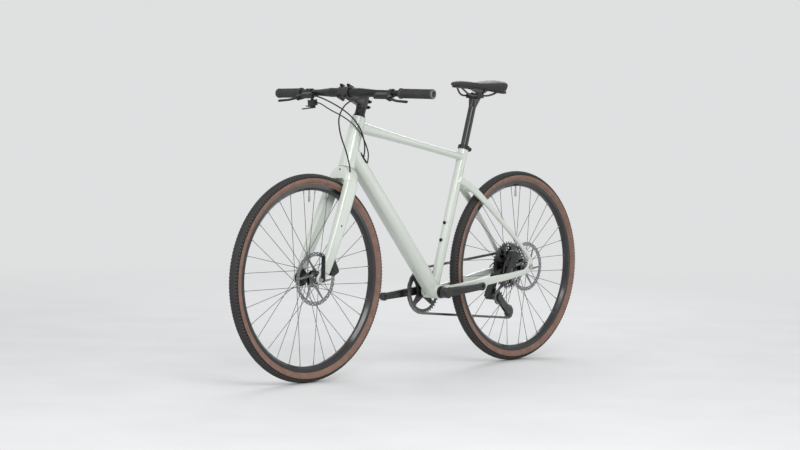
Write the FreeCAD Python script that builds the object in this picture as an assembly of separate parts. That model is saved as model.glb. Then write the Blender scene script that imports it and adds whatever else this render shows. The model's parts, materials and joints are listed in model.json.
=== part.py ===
import FreeCAD, Part
import math
import os

# Flat-bar hybrid bicycle with disc brakes, a single chainring and a ten-cog cassette.
# Millimetres. +X points forward, +Y to the rider's left and +Z up.
# The origin is on the ground, midway between the two wheel axles.

V = FreeCAD.Vector
LEFT = V(0, 1, 0)
UP = V(0, 0, 1)
FORWARD = V(1, 0, 0)

# Overall layout
WHEELBASE = 1071.0
TYRE_RADIUS = 349.0
BB_DROP = 74.0
CHAINSTAY_LENGTH = 452.0
FORK_RAKE = 50.0
HEAD_ANGLE = 71.5
SEAT_ANGLE = 73.5

# Clearances
RUNNING_FIT = 0.05
SEAT_GAP = 0.15
BODY_GAP = 0.4
CUT_OVERRUN = 6.0

# Head tube, measured along the steering axis from the foot of the front axle
AXLE_TO_HEAD = 403.0
HEAD_LENGTH = 182.0
HEAD_TOP_WIDTH = 43.0
HEAD_TOP_DEPTH = 45.0
HEAD_TOP_CORNER = 17.0
HEAD_LOWER_WIDTH = 55.0
HEAD_LOWER_CORNER = 26.0
HEAD_BORE_RADIUS = 17.5
HEAD_BEARING_DEPTH = 8.0
UPPER_BEARING_RADIUS = 19.0
LOWER_BEARING_RADIUS = 22.5

# Main tubes
TUBE_WALL = 2.2
TOP_TUBE_HEAD_DROP = 35.0
TOP_TUBE_SEAT_DROP = 38.0
TOP_TUBE_HEAD_HEIGHT = 39.0
TOP_TUBE_HEAD_WIDTH = 40.0
TOP_TUBE_MIDDLE_HEIGHT = 27.0
TOP_TUBE_MIDDLE_WIDTH = 36.0
TOP_TUBE_SEAT_HEIGHT = 25.0
TOP_TUBE_SEAT_WIDTH = 32.0
TOP_TUBE_CORNER = 11.0
TOP_TUBE_MIDDLE_SHARE = 0.4
DOWN_TUBE_HEAD_RISE = 58.0
DOWN_TUBE_HEAD_HEIGHT = 56.0
DOWN_TUBE_HEAD_WIDTH = 50.0
DOWN_TUBE_BB_HEIGHT = 52.0
DOWN_TUBE_BB_WIDTH = 58.0
DOWN_TUBE_CORNER = 20.0
SEAT_TUBE_RADIUS = 17.2
SEAT_TUBE_LENGTH = 533.0
SEAT_SLEEVE_LENGTH = 120.0
BB_SHELL_RADIUS = 24.0
BB_SHELL_WIDTH = 73.0
BB_SHELL_BORE_RADIUS = 17.2

# Rear triangle
REAR_SPACING = 142.0
DROPOUT_THICKNESS = 8.0
DROPOUT_AXLE_RADIUS = 15.0
CHAINSTAY_STATION_X = (34.0, 135.0, 320.0, 418.0)
CHAINSTAY_STATION_Y = (26.0, 35.5, 65.5, 73.0)
CHAINSTAY_STATION_Z = (2.0, 15.0, 41.0, 56.0)
CHAINSTAY_HEIGHTS = (34.0, 29.0, 25.0, 19.0)
CHAINSTAY_WIDTHS = (17.0, 16.0, 15.0, 12.0)
STAY_CORNER_SHARE = 0.38
SEATSTAY_STATION_X = (330.0, 238.0, 142.0, 40.0, 2.0)
SEATSTAY_STATION_Y = (13.0, 32.0, 47.0, 66.5, 74.0)
SEATSTAY_STATION_Z = (322.0, 262.0, 176.0, 76.0, 32.0)
SEATSTAY_HEIGHTS = (30.0, 24.0, 18.0, 15.0, 14.0)
SEATSTAY_WIDTHS = (16.0, 14.0, 13.0, 12.5, 11.0)
BRIDGE_X = 262.0
BRIDGE_Z = 282.0
BRIDGE_RADIUS = 6.5
DROPOUT_CHAINSTAY_X = 26.0
DROPOUT_CHAINSTAY_DROP = 18.0
DROPOUT_CHAINSTAY_RADIUS = 9.5
DROPOUT_SEATSTAY_X = 1.0
DROPOUT_SEATSTAY_RISE = 30.0
DROPOUT_SEATSTAY_RADIUS = 7.0
HANGER_X = -12.0
HANGER_DROP = 29.0
HANGER_RADIUS = 9.0
HANGER_THICKNESS = 6.0
HANGER_BOLT_RADIUS = 5.0

# Headset, measured up from the top of the head tube
BEARING_HEIGHT = 7.0
BEARING_SHOULDER = 0.5
STEERER_TOP_RADIUS = 14.3
STEERER_LOWER_RADIUS = 16.5
STEERER_WALL = 3.0
STEERER_TAPER_LENGTH = 60.0
HEADSET_COVER_HEIGHT = 12.0
HEADSET_COVER_RADIUS = 21.5
SPACER_RADIUS = 17.5
SPACER_HEIGHT = 10.0
SPACER_COUNT = 2
TOP_CAP_HEIGHT = 5.0

# Fork
CROWN_TOP_GAP = 0.8
CROWN_TOP_RADIUS = 27.3
CROWN_SHOULDER_DROP = 16.0
CROWN_SHOULDER_WIDTH = 84.0
CROWN_SHOULDER_DEPTH = 58.0
CROWN_LOWER_DROP = 50.0
CROWN_LOWER_WIDTH = 106.0
CROWN_LOWER_DEPTH = 54.0
CROWN_LOWER_FORWARD = 2.0
CROWN_CORNER = 22.0
CROWN_TYRE_GAP = 9.0
CROWN_ARCH_HALF_WIDTH = 27.0
FRONT_SPACING = 100.0
LEG_STATION_DROPS = (0.0, 112.0, 242.0, 326.0)
LEG_STATION_FORWARD = (2.0, 12.0, 26.0, 36.0)
LEG_STATION_Y = (40.0, 47.0, 54.0, 57.5)
LEG_DEPTHS = (54.0, 50.0, 43.0, 34.0)
LEG_WIDTHS = (26.0, 26.0, 22.0, 15.0)
LEG_CORNER_SHARE = 0.36
FORK_TIP_RADIUS = 13.0
FORK_TIP_THICKNESS = 9.0
FORK_EYELET_T = 195.0
FORK_EYELET_RADIUS = 2.1
FORK_EYELET_FORWARD = 17.0
FORK_EYELET_Y = 53.0
FORK_EYELET_REACH = 20.0

# Axles
AXLE_RADIUS = 6.0
AXLE_SHOULDER_RADIUS = 9.5
AXLE_HEAD_RADIUS = 9.0
AXLE_HEAD_LENGTH = 4.0
FRONT_LEVER_LENGTH = 74.0
FRONT_LEVER_RADIUS = 5.5
FRONT_LEVER_TIP_RADIUS = 6.5
FRONT_LEVER_THICKNESS = 6.0
FRONT_LEVER_PIN_RADIUS = 3.0
FRONT_LEVER_EAR_THICKNESS = 4.0
FRONT_LEVER_STANDOFF = 12.0

# Wheels, radii from the axle
RIM_FLANGE_RADIUS = 317.0
RIM_BEAD_RADIUS = 310.5
RIM_WELL_RADIUS = 307.0
RIM_SHOULDER_RADIUS = 303.0
RIM_INNER_RADIUS = 294.0
RIM_HALF_WIDTH = 13.5
RIM_FLANGE_THICKNESS = 1.8
RIM_BED_HALF_WIDTH = 5.0
RIM_WELL_HALF_WIDTH = 5.5
RIM_WALL = 1.6
TYRE_HALF_WIDTH = 20.5
TYRE_WIDEST_RADIUS = 329.0
TYRE_TREAD_RADIUS = 342.0
TYRE_TREAD_HALF_WIDTH = 16.5
TYRE_THICKNESS = 2.6
SPOKE_COUNT = 32
# Where a spoke meets the rim within its own step, left side and right side
SPOKE_SIDE_SHARES = {1: 0.25, -1: 0.75}
SPOKE_CROSSES = 3
SPOKE_RADIUS = 0.9
SPOKE_RIM_OFFSET = 2.2
NIPPLE_RADIUS = 2.0
NIPPLE_LENGTH = 12.0
FLANGE_HOLE_RADIUS = 26.0
FLANGE_RADIUS = 28.5
FLANGE_HALF_THICKNESS = 1.6
FLANGE_SPOKE_OUTER = 4.2
FLANGE_SPOKE_INNER = 2.7
VALVE_RADIUS = 3.0
VALVE_LENGTH = 36.0
VALVE_CAP_RADIUS = 4.0
VALVE_CAP_LENGTH = 16.0
HUB_SHELL_RADIUS = 15.0
HUB_BEARING_RADIUS = 12.0
HUB_BEARING_WIDTH = 8.0
FRONT_HUB_HALF_WIDTH = 38.0
FRONT_FLANGE_LEFT = 22.0
FRONT_FLANGE_RIGHT = 32.0
FRONT_ROTOR_Y = 35.0
REAR_HUB_LEFT = 58.0
REAR_HUB_RIGHT = 26.5
REAR_FLANGE_LEFT = 36.0
REAR_FLANGE_RIGHT = 20.5
REAR_ROTOR_Y = 55.0

# Brake rotors and calipers
ROTOR_RADIUS = 90.0
ROTOR_THICKNESS = 1.8
ROTOR_TRACK_RADIUS = 76.0
ROTOR_WAVE_RADIUS = 5.0
ROTOR_WAVE_COUNT = 36
ROTOR_HOLE_RADIUS = 2.6
ROTOR_HOLE_COUNT = 24
ROTOR_HOLE_RINGS = 2
ROTOR_ARM_COUNT = 6
ROTOR_ARM_HALF_WIDTH = 5.0
ROTOR_ARM_SWEEP = 28.0
ROTOR_CENTRE_RADIUS = 27.0
ROTOR_BORE_RADIUS = 17.0
LOCKRING_RADIUS = 21.0
LOCKRING_THICKNESS = 3.5
CALIPER_LENGTH = 62.0
CALIPER_HEIGHT = 34.0
CALIPER_CENTRE_RADIUS = 84.0
CALIPER_INBOARD = 11.5
CALIPER_OUTBOARD = 11.0
CALIPER_CORNER = 9.0
CALIPER_SLOT = 7.6
CALIPER_ROTOR_GAP = 2.5
CALIPER_PISTON_RADIUS = 12.0
CALIPER_PISTON_RISE = 2.5
CALIPER_FOOT_RUN = 22.0
CALIPER_FOOT_RADIUS = 5.0
REAR_CALIPER_ANGLE = 70.0
FRONT_CALIPER_ANGLE = 298.0
CALIPER_REAR_FOOT_X = 0.0
CALIPER_FRONT_FOOT_T = 70.0
CALIPER_FRONT_FOOT_FORWARD = 28.0
PAD_LENGTH = 26.0
PAD_HEIGHT = 18.0
PAD_GAP = 0.35
PAD_INSET = 4.0
PAD_CORNER = 3.0

# Cranks, chainring and bottom bracket
CRANK_LENGTH = 172.5
CRANK_TILT = 5.0
SPINDLE_RADIUS = 12.0
BB_CUP_RADIUS = 21.5
BB_CUP_WIDTH = 9.0
BB_CUP_SLEEVE = 20.0
CRANK_BOSS_RADIUS = 20.0
CRANK_TIP_RADIUS = 15.0
CRANK_BOSS_Y = 48.0
CRANK_BOSS_THICKNESS = 28.0
CRANK_ARM_ROOT_WIDTH = 16.0
CRANK_TIP_Y = 72.0
CRANK_TIP_THICKNESS = 14.0
CRANK_ARM_HEIGHT = 32.0
CRANK_ARM_TIP_HEIGHT = 25.0
CRANK_ARM_CORNER = 5.0
CRANK_BOLT_RADIUS = 10.0
CRANK_BOLT_HEIGHT = 2.0
PEDAL_HOLE_RADIUS = 6.55
CHAIN_LINE = 46.0
CHAINRING_TEETH = 40
CHAINRING_THICKNESS = 1.9
CHAINRING_INNER_RADIUS = 66.0
CHAINRING_TAB_RADIUS = 8.0
CHAINRING_BOLT_CIRCLE = 62.0
CHAINRING_BOLT_RADIUS = 5.0
CHAINRING_BOLT_COUNT = 4
SPIDER_THICKNESS = 5.0
SPIDER_ARM_ANGLE = 45.0
LEFT_CAP_SHARE = 0.8
SPIDER_HUB_RADIUS = 24.0
SPIDER_ARM_RADIUS = 7.5

# Chain and cassette
CHAIN_PITCH = 12.7
ROLLER_RADIUS = 3.85
CHAIN_PIN_RADIUS = 1.75
CHAIN_PIN_FIT = 0.1
CHAIN_INNER_HALF_WIDTH = 1.2
CHAIN_PLATE_THICKNESS = 0.85
CHAIN_PLATE_GAP = 0.12
CHAIN_PLATE_RADIUS = 4.2
CHAIN_PIN_HALF_LENGTH = 3.05
CHAIN_STEP_SHARES = (0.98, 1.2)
CHAIN_SOLVE_STEPS = 40
TOOTH_ROOT_RADIUS = 4.15
TOOTH_HEIGHT = 2.6
TOOTH_TIP_HALF_WIDTH = 0.7
COG_TEETH = (11, 13, 15, 18, 21, 24, 28, 32, 37, 42)
CHAIN_COG = 5
COG_PITCH = 3.95
COG_THICKNESS = 1.6
COG_BORE_RADIUS = 17.3
COG_SPACER_RADIUS = 20.0
COG_WEB_MARGIN = 8.0
COG_WINDOW_COUNT = 8
COG_WINDOW_SHARE = 0.7
COG_WINDOW_MIN_TEETH = 28
FREEHUB_RADIUS = 17.0
FREEHUB_OVERHANG = 2.4
LOCKRING_LIP = 1.0
FREEHUB_END = 68.0

# Rear derailleur
LINK_ANGLE = 65.0
LINK_LENGTH = 44.0
LINK_SPACING = 16.0
LINK_WIDTH = 16.0
LINK_END_RADIUS = 5.0
LINK_PIN_RADIUS = 2.5
LINK_INSET = 2.0
CHEEK_THICKNESS = 4.0
CHEEK_REACH = 6.0
KNUCKLE_RADIUS = 11.0
KNUCKLE_Y = 79.4
KNUCKLE_LENGTH = 25.0
KNUCKLE_TO_PIVOT = 22.0
PIVOT_TO_CAGE = 34.0
CAGE_PIN_RADIUS = 4.0
PULLEY_TEETH = 11
PULLEY_THICKNESS = 2.2
PULLEY_HUB_RADIUS = 7.0
PULLEY_HUB_HALF_WIDTH = 4.4
PULLEY_BOLT_RADIUS = 2.5
CAGE_PLATE_THICKNESS = 2.0
CAGE_HALF_GAP = 5.0
CAGE_PLATE_RADIUS = 12.0
CAGE_LENGTH = 79.0
CAGE_ANGLE = 43.0
CAGE_SEARCH = 14.0
CAGE_SOLVE_STEPS = 30
CAGE_TAB_OFFSET = 10.5
CAGE_TAB_RADIUS = 2.0

# Stem and handlebar
STEM_LENGTH = 88.0
STEM_RISE = 4.0
STEM_CLAMP_HEIGHT = 38.0
STEM_CLAMP_RADIUS = 19.0
STEM_BAR_CLAMP_RADIUS = 21.5
STEM_BAR_CLAMP_WIDTH = 46.0
STEM_BODY_HEIGHT = 33.0
STEM_BODY_WIDTH = 34.0
STEM_BODY_CORNER = 9.0
FACEPLATE_GAP = 1.2
BOLT_HEAD_RADIUS = 4.2
BOLT_HEAD_HEIGHT = 5.0
FACEPLATE_BOLT_SPREAD_Y = 16.0
FACEPLATE_BOLT_SPREAD_Z = 20.5
FACEPLATE_LUG_RADIUS = 6.0
BOLT_LUG_REACH = 14.5
BOLT_HEAD_RISE = 3.0
STEM_PINCH_WIDTH = 30.0
STEM_PINCH_INSET = 9.0
BAR_CLAMP_RADIUS = 15.9
BAR_GRIP_RADIUS = 11.1
BAR_WALL = 2.0
BAR_HALF_WIDTH = 362.0
BAR_BEND_Y = 66.0
BAR_SWEEP = 7.0
BAR_DROOP = 0.7
BAR_TAPER_LENGTH = 70.0
GRIP_LENGTH = 132.0
GRIP_RADIUS = 16.0
GRIP_FLANGE_RADIUS = 17.8
GRIP_FLANGE_LENGTH = 7.0
BAR_PLUG_LENGTH = 8.0
BAR_PLUG_CAP = 3.0

# Brake and shift controls, measured along the bar from its end
CONTROL_TILT = 28.0
LEVER_CLAMP_FROM_END = 160.0
LEVER_CLAMP_RADIUS = 15.0
LEVER_CLAMP_WIDTH = 14.0
MASTER_RADIUS = 8.5
MASTER_FORWARD = 25.0
MASTER_INBOARD = 62.0
RESERVOIR_RISE = 3.0
LEVER_PIVOT_FORWARD = 36.0
LEVER_PIVOT_OUTBOARD = 10.0
LEVER_PIVOT_RADIUS = 3.0
LEVER_EAR_RADIUS = 7.0
LEVER_EAR_THICKNESS = 3.5
LEVER_BLADE_THICKNESS = 9.0
LEVER_BLADE_RADIUS = 5.0
LEVER_BEND_OUTBOARD = 34.0
LEVER_BEND_FORWARD = 17.0
LEVER_TIP_OUTBOARD = 80.0
LEVER_TIP_FORWARD = 22.0
LEVER_TIP_RADIUS = 5.5
SHIFTER_TILT = 8.0
SHIFTER_FROM_END = 180.0
SHIFTER_CLAMP_WIDTH = 10.0
SHIFTER_DROP = 24.0
SHIFTER_RADIUS = 17.0
SHIFTER_HEIGHT = 20.0
SHIFTER_PIVOT_RADIUS = 3.5
SHIFT_PADDLE_LENGTH = 40.0
SHIFT_PADDLE_RADIUS = 8.0
SHIFT_HUB_RADIUS = 9.0
SHIFT_PADDLE_THICKNESS = 4.0
SHIFT_PADDLE_STEP = 0.6
SHIFT_PADDLE_BACK = 10.0
SHIFT_TRIGGER_LENGTH = 34.0
SHIFT_TRIGGER_RADIUS = 6.0

# Hoses, and their routes as points chosen by hand
HOSE_RADIUS = 2.5
HOUSING_RADIUS = 2.2
HOSE_BEND_SHARE = 0.45
HOSE_LEAD = 22.0
FRONT_HOSE_ROUTE = (
    (430.0, 64.0, 938.0),
    (455.0, 50.0, 888.0),
    (436.0, 42.0, 828.0),
    (404.0, 42.0, 770.0),
    (386.0, 42.0, 716.0),
    (378.0, 36.0, 680.0),
)
FRONT_TAIL_ROUTE = (
    (466.0, 52.0, 470.0),
    (448.0, 46.0, 452.0),
    (447.0, 40.0, 428.0),
    (456.0, 36.0, 396.0),
)
REAR_LEAD_ROUTE = (
    (358.0, -84.0, 938.0),
    (352.0, -30.0, 914.0),
    (342.0, 8.0, 886.0),
    (326.0, 31.0, 850.0),
    (306.0, 31.0, 806.0),
    (298.0, 26.0, 772.0),
    (292.0, 12.0, 738.0),
)
SHIFT_LEAD_ROUTE = (
    (362.0, -84.0, 912.0),
    (358.0, -28.0, 892.0),
    (346.0, 12.0, 866.0),
    (328.0, 37.0, 832.0),
    (300.0, 38.0, 786.0),
    (282.0, 30.0, 752.0),
    (274.0, 12.0, 722.0),
)
REAR_TAIL_ROUTE = (
    (-392.0, 66.0, 318.0),
    (-404.0, 62.0, 348.0),
    (-418.0, 58.0, 374.0),
    (-452.0, 55.0, 392.0),
)
SHIFT_TAIL_ROUTE = (
    (-474.0, -68.0, 325.0),
    (-498.0, -88.0, 340.0),
    (-546.0, -95.0, 364.0),
    (-590.0, -97.0, 350.0),
    (-594.0, -95.0, 322.0),
    (-556.0, -92.0, 318.0),
)

# Seatpost and saddle
POST_RADIUS = 13.6
POST_LENGTH = 350.0
POST_EXPOSED = 176.0
POST_WALL = 2.4
POST_HEAD_LENGTH = 44.0
POST_HEAD_WIDTH = 26.0
POST_HEAD_RISE = 7.0
POST_HEAD_SETBACK = 6.0
POST_HEAD_CORNER = 6.0
POST_NECK = 26.0
POST_BOLT_DEPTH = 9.0
POST_BOLT_REACH = 8.0
COLLAR_RADIUS = 21.0
COLLAR_HEIGHT = 14.0
COLLAR_STANDOUT = 5.0
COLLAR_SLIT = 2.0
COLLAR_EAR_LENGTH = 9.0
COLLAR_EAR_WIDTH = 22.0
COLLAR_BOLT_RADIUS = 2.5
COLLAR_POST_GAP = 0.3
RAIL_RADIUS = 3.5
RAIL_HALF_SPACING = 22.0
# Each point: ahead of the clamp's middle, out from the bike's middle, above the rails' level
SADDLE_RAIL_ROUTE = (
    (89.0, 9.0, 30.0),
    (54.0, 22.0, 0.0),
    (-58.0, 22.0, 0.0),
    (-108.0, 40.0, 26.0),
)
CRADLE_LENGTH = 40.0
CRADLE_WIDTH = 56.0
CRADLE_HEIGHT = 9.0
CRADLE_BOLT_RADIUS = 2.5
CRADLE_BOLT_SPREAD = 30.0
SADDLE_LENGTH = 248.0
SADDLE_HALF_WIDTH = 73.0
SADDLE_NOSE_AHEAD = 120.0
SADDLE_RISE = 55.2
SADDLE_STATION_SHARES = (0.0, 0.03, 0.12, 0.3, 0.5, 0.68, 0.84, 0.95, 1.0)
SADDLE_WIDTH_SHARES = (0.17, 0.24, 0.28, 0.32, 0.48, 0.82, 1.0, 0.9, 0.66)
SADDLE_TOP_DROPS = (14.0, 9.0, 4.5, 5.0, 7.5, 5.0, 1.0, 1.5, 8.0)
SADDLE_SIDE_DROPS = (20.0, 22.0, 23.0, 25.0, 30.0, 38.0, 43.0, 40.0, 31.0)
SADDLE_UNDER_DROPS = (22.5, 24.5, 25.5, 27.5, 27.0, 26.0, 24.0, 24.0, 25.0)
SADDLE_WIDEST_SHARE = 0.45
SADDLE_BASE_INSET = 2.0
SADDLE_FLANK_SHARE = 0.8
SADDLE_BASE_THICKNESS = 4.0

# Frame fittings, distances along their tubes from the bottom bracket
BOSS_LOWER = 184.0
BOSS_SPACING = 64.0
BOSS_RADIUS = 5.5
BOSS_HEIGHT = 2.6
BOSS_DEPTH = 9.0
BOSS_HOLE_RADIUS = 2.1
PORT_FROM_HEAD = 45.0
PORT_LENGTH = 46.0
PORT_WIDTH = 18.0
PORT_HEIGHT = 1.6
PORT_LEAN_SHARE = 1.0
TOP_SCREW_FROM_HEAD = 92.0
TOP_SCREW_RISE = 1.6


# Places worked out from the driving dimensions
def unit(vector):
    """The same direction with length one."""
    result = V(vector)
    result.normalize()
    return result


def turned(degrees):
    """A direction in the bike's middle plane, measured up from forward."""
    angle = math.radians(degrees)
    return V(math.cos(angle), 0, math.sin(angle))


REAR_AXLE = V(-WHEELBASE / 2, 0, TYRE_RADIUS)
FRONT_AXLE = V(WHEELBASE / 2, 0, TYRE_RADIUS)
BB_RUN = math.sqrt(CHAINSTAY_LENGTH**2 - BB_DROP**2)
BB = REAR_AXLE + V(BB_RUN, 0, -BB_DROP)
STEER_UP = turned(180 - HEAD_ANGLE)
STEER_FORWARD = turned(90 - HEAD_ANGLE)
SEAT_UP = turned(180 - SEAT_ANGLE)
SEAT_FORWARD = turned(90 - SEAT_ANGLE)
HEAD_TOP = AXLE_TO_HEAD + HEAD_LENGTH
STEM_BOTTOM = HEAD_TOP + HEADSET_COVER_HEIGHT + SPACER_COUNT * SPACER_HEIGHT
STEM_TOP = STEM_BOTTOM + STEM_CLAMP_HEIGHT


def steer_point(along, forward=0, left=0):
    """A point measured along the steering axis from the foot of the front axle."""
    return FRONT_AXLE + STEER_UP * along + STEER_FORWARD * (forward - FORK_RAKE) + LEFT * left


def seat_point(along, forward=0, left=0):
    """A point measured up the seat tube from the bottom bracket."""
    return BB + SEAT_UP * along + SEAT_FORWARD * forward + LEFT * left


# Shape helpers
def rod(start, end, radius):
    """A solid cylinder between two points."""
    return Part.makeCylinder(radius, (end - start).Length, start, end - start)


def pipe(start, end, outer, inner):
    """A hollow cylinder between two points."""
    overrun = unit(end - start) * CUT_OVERRUN
    return rod(start, end, outer).cut(rod(start - overrun, end + overrun, inner))


def disc_stack(origin, axis, steps):
    """A turned solid from (radius, along) corners, closed through the axis line or a bore."""
    radial = unit(axis.cross(V(axis.y, axis.z, axis.x)))
    points = [origin + radial * radius + axis * along for radius, along in steps]
    face = Part.Face(Part.makePolygon(points + points[:1]))
    return face.revolve(origin, axis, 360)


def rounded_wire(centre, across, upright, width, height, corner):
    """A rectangle with round corners, centred, in the plane of two directions."""
    half_w = width / 2 - corner
    half_h = height / 2 - corner
    diagonal = corner * math.sqrt(0.5)
    edges = []
    corners = ((1, 1), (-1, 1), (-1, -1), (1, -1))
    for index, (sign_w, sign_h) in enumerate(corners):
        middle = centre + across * (sign_w * half_w) + upright * (sign_h * half_h)
        on_side = middle + across * (sign_w * corner)
        on_top = middle + upright * (sign_h * corner)
        through = middle + across * (sign_w * diagonal) + upright * (sign_h * diagonal)
        first, last = (on_side, on_top) if index % 2 == 0 else (on_top, on_side)
        next_w, next_h = corners[(index + 1) % len(corners)]
        following = centre + across * (next_w * half_w) + upright * (next_h * half_h)
        step = upright * (next_h * corner) if index % 2 == 0 else across * (next_w * corner)
        edges.append(Part.Arc(first, through, last).toShape())
        edges.append(Part.makeLine(last, following + step))
    return Part.Wire(edges)


def loft(wires, ruled=False):
    """A closed solid through wires that have the same number of edges."""
    return Part.makeLoft(wires, True, ruled)


def plate(first, second, first_radius, second_radius, normal, thickness):
    """Two round ends joined by their outer tangents, extruded along normal."""
    along = unit(second - first)
    side = unit(normal).cross(along)
    cosine = (first_radius - second_radius) / (second - first).Length
    sine = math.sqrt(1 - cosine**2)
    rim = (along * cosine + side * sine, along * cosine - side * sine)
    first_left, first_right = (first + way * first_radius for way in rim)
    second_left, second_right = (second + way * second_radius for way in rim)
    edges = [
        Part.Arc(first_left, first - along * first_radius, first_right).toShape(),
        Part.makeLine(first_right, second_right),
        Part.Arc(second_right, second + along * second_radius, second_left).toShape(),
        Part.makeLine(second_left, first_left),
    ]
    return Part.Face(Part.Wire(edges)).extrude(unit(normal) * thickness)


def ring_of(shape, centre, axis, count):
    """Evenly spaced copies of a shape around an axis."""
    copies = []
    for index in range(count):
        copy = shape.copy()
        copy.rotate(centre, axis, 360 * index / count)
        copies.append(copy)
    return copies


def fused(*shapes):
    """One solid from overlapping or touching shapes."""
    return shapes[0].multiFuse(list(shapes[1:])).removeSplitter()


def route_tube(points, radius):
    """A round hose along straight runs joined by tangent arcs, and its arc radii."""
    edges = []
    radii = []
    last = points[0]
    for before, point, after in zip(points, points[1:], points[2:]):
        inward = unit(point - before)
        outward = unit(after - point)
        half_turn = inward.getAngle(outward) / 2
        trim = HOSE_BEND_SHARE * min((point - before).Length, (after - point).Length)
        bend = trim / math.tan(half_turn)
        start = point - inward * trim
        end = point + outward * trim
        towards = unit(outward - inward)
        middle = point + towards * (bend / math.cos(half_turn) - bend)
        edges.append(Part.makeLine(last, start))
        edges.append(Part.Arc(start, middle, end).toShape())
        radii.append(bend)
        last = end
    edges.append(Part.makeLine(last, points[-1]))
    path = Part.Wire(edges)
    section = Part.Wire(Part.makeCircle(radius, points[0], points[1] - points[0]))
    return path.makePipeShell([section], True, False), path.Length, radii


def export(name, *shapes):
    """Writes one named piece, or a group of like pieces, to its file."""
    solids = [solid for shape in shapes for solid in shape.Solids]
    result = solids[0] if len(solids) == 1 else Part.makeCompound(solids)
    result.exportStep("parts/" + name + ".step")
    return result


# Front triangle
def head_envelope():
    """The head tube's outside, as a filled solid."""
    lower = steer_point(AXLE_TO_HEAD)
    upper = steer_point(HEAD_TOP)
    lower_wire = rounded_wire(
        lower, STEER_FORWARD, LEFT, HEAD_LOWER_WIDTH, HEAD_LOWER_WIDTH, HEAD_LOWER_CORNER
    )
    upper_wire = rounded_wire(
        upper, STEER_FORWARD, LEFT, HEAD_TOP_DEPTH, HEAD_TOP_WIDTH, HEAD_TOP_CORNER
    )
    return loft([lower_wire, upper_wire], True)


def head_tube():
    """The head tube with its bore and its two bearing seats."""
    below = AXLE_TO_HEAD - CUT_OVERRUN
    above = HEAD_TOP + CUT_OVERRUN
    bore = rod(steer_point(below), steer_point(above), HEAD_BORE_RADIUS)
    lower_seat = rod(
        steer_point(below),
        steer_point(AXLE_TO_HEAD + HEAD_BEARING_DEPTH),
        LOWER_BEARING_RADIUS + RUNNING_FIT,
    )
    upper_seat = rod(
        steer_point(HEAD_TOP - HEAD_BEARING_DEPTH),
        steer_point(above),
        UPPER_BEARING_RADIUS + RUNNING_FIT,
    )
    return head_envelope().cut(bore).cut(lower_seat).cut(upper_seat)


def seat_envelope():
    """The seat tube's outside, as a filled solid."""
    return rod(BB, seat_point(SEAT_TUBE_LENGTH), SEAT_TUBE_RADIUS)


def shell_envelope():
    """The bottom bracket shell's outside, as a filled solid."""
    half = LEFT * (BB_SHELL_WIDTH / 2)
    return rod(BB - half, BB + half, BB_SHELL_RADIUS)


def seat_tube():
    """The seat tube, bored for the post at its top and thinner below."""
    top = seat_point(SEAT_TUBE_LENGTH + CUT_OVERRUN)
    bore = rod(BB, top, POST_RADIUS + RUNNING_FIT)
    sleeve_end = seat_point(SEAT_TUBE_LENGTH - SEAT_SLEEVE_LENGTH)
    thin = rod(BB, sleeve_end, SEAT_TUBE_RADIUS - TUBE_WALL)
    tube = seat_envelope().cut(shell_envelope()).cut(bore).cut(thin)
    return tube.cut(boss_holes(boss_places()[0]))


def bottom_bracket_shell():
    """The shell across the frame that holds the bearing cups."""
    half = LEFT * (BB_SHELL_WIDTH / 2)
    return pipe(BB - half, BB + half, BB_SHELL_RADIUS, BB_SHELL_BORE_RADIUS)


def tube_pair(sections):
    """Outer and inner lofts of a tube from (centre, across, upright, width, height, corner)."""
    outer = []
    inner = []
    for centre, across, upright, width, height, corner in sections:
        outer.append(rounded_wire(centre, across, upright, width, height, corner))
        thin = 2 * TUBE_WALL
        inner.append(
            rounded_wire(centre, across, upright, width - thin, height - thin, corner - TUBE_WALL)
        )
    return loft(outer), loft(inner)


TOP_TUBE_HEAD = steer_point(HEAD_TOP - TOP_TUBE_HEAD_DROP)
TOP_TUBE_SEAT = seat_point(SEAT_TUBE_LENGTH - TOP_TUBE_SEAT_DROP)
DOWN_TUBE_HEAD = steer_point(AXLE_TO_HEAD + DOWN_TUBE_HEAD_RISE)


def top_tube():
    """The sloping top tube, mitred to the head tube and the seat tube."""
    along = unit(TOP_TUBE_HEAD - TOP_TUBE_SEAT)
    upright = LEFT.cross(along) * -1
    middle = TOP_TUBE_HEAD + (TOP_TUBE_SEAT - TOP_TUBE_HEAD) * TOP_TUBE_MIDDLE_SHARE
    stations = (
        (TOP_TUBE_HEAD, TOP_TUBE_HEAD_WIDTH, TOP_TUBE_HEAD_HEIGHT),
        (middle, TOP_TUBE_MIDDLE_WIDTH, TOP_TUBE_MIDDLE_HEIGHT),
        (TOP_TUBE_SEAT, TOP_TUBE_SEAT_WIDTH, TOP_TUBE_SEAT_HEIGHT),
    )
    outer, inner = tube_pair(
        [(p, LEFT, upright, width, height, TOP_TUBE_CORNER) for p, width, height in stations]
    )
    return outer.cut(inner).cut(head_envelope()).cut(seat_envelope())


def down_tube_axes():
    """The down tube's direction from the bottom bracket, and its upper side."""
    along = unit(DOWN_TUBE_HEAD - BB)
    return along, along.cross(LEFT)


def down_tube():
    """The large down tube, mitred to the head tube, the shell and the seat tube."""
    upright = down_tube_axes()[1]
    stations = (
        (BB, DOWN_TUBE_BB_WIDTH, DOWN_TUBE_BB_HEIGHT),
        (DOWN_TUBE_HEAD, DOWN_TUBE_HEAD_WIDTH, DOWN_TUBE_HEAD_HEIGHT),
    )
    outer, inner = tube_pair(
        [(p, LEFT, upright, width, height, DOWN_TUBE_CORNER) for p, width, height in stations]
    )
    result = outer.cut(inner).cut(head_envelope()).cut(shell_envelope()).cut(seat_envelope())
    result = result.cut(boss_holes(boss_places()[1]))
    return max(result.Solids, key=lambda solid: solid.Volume)


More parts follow.
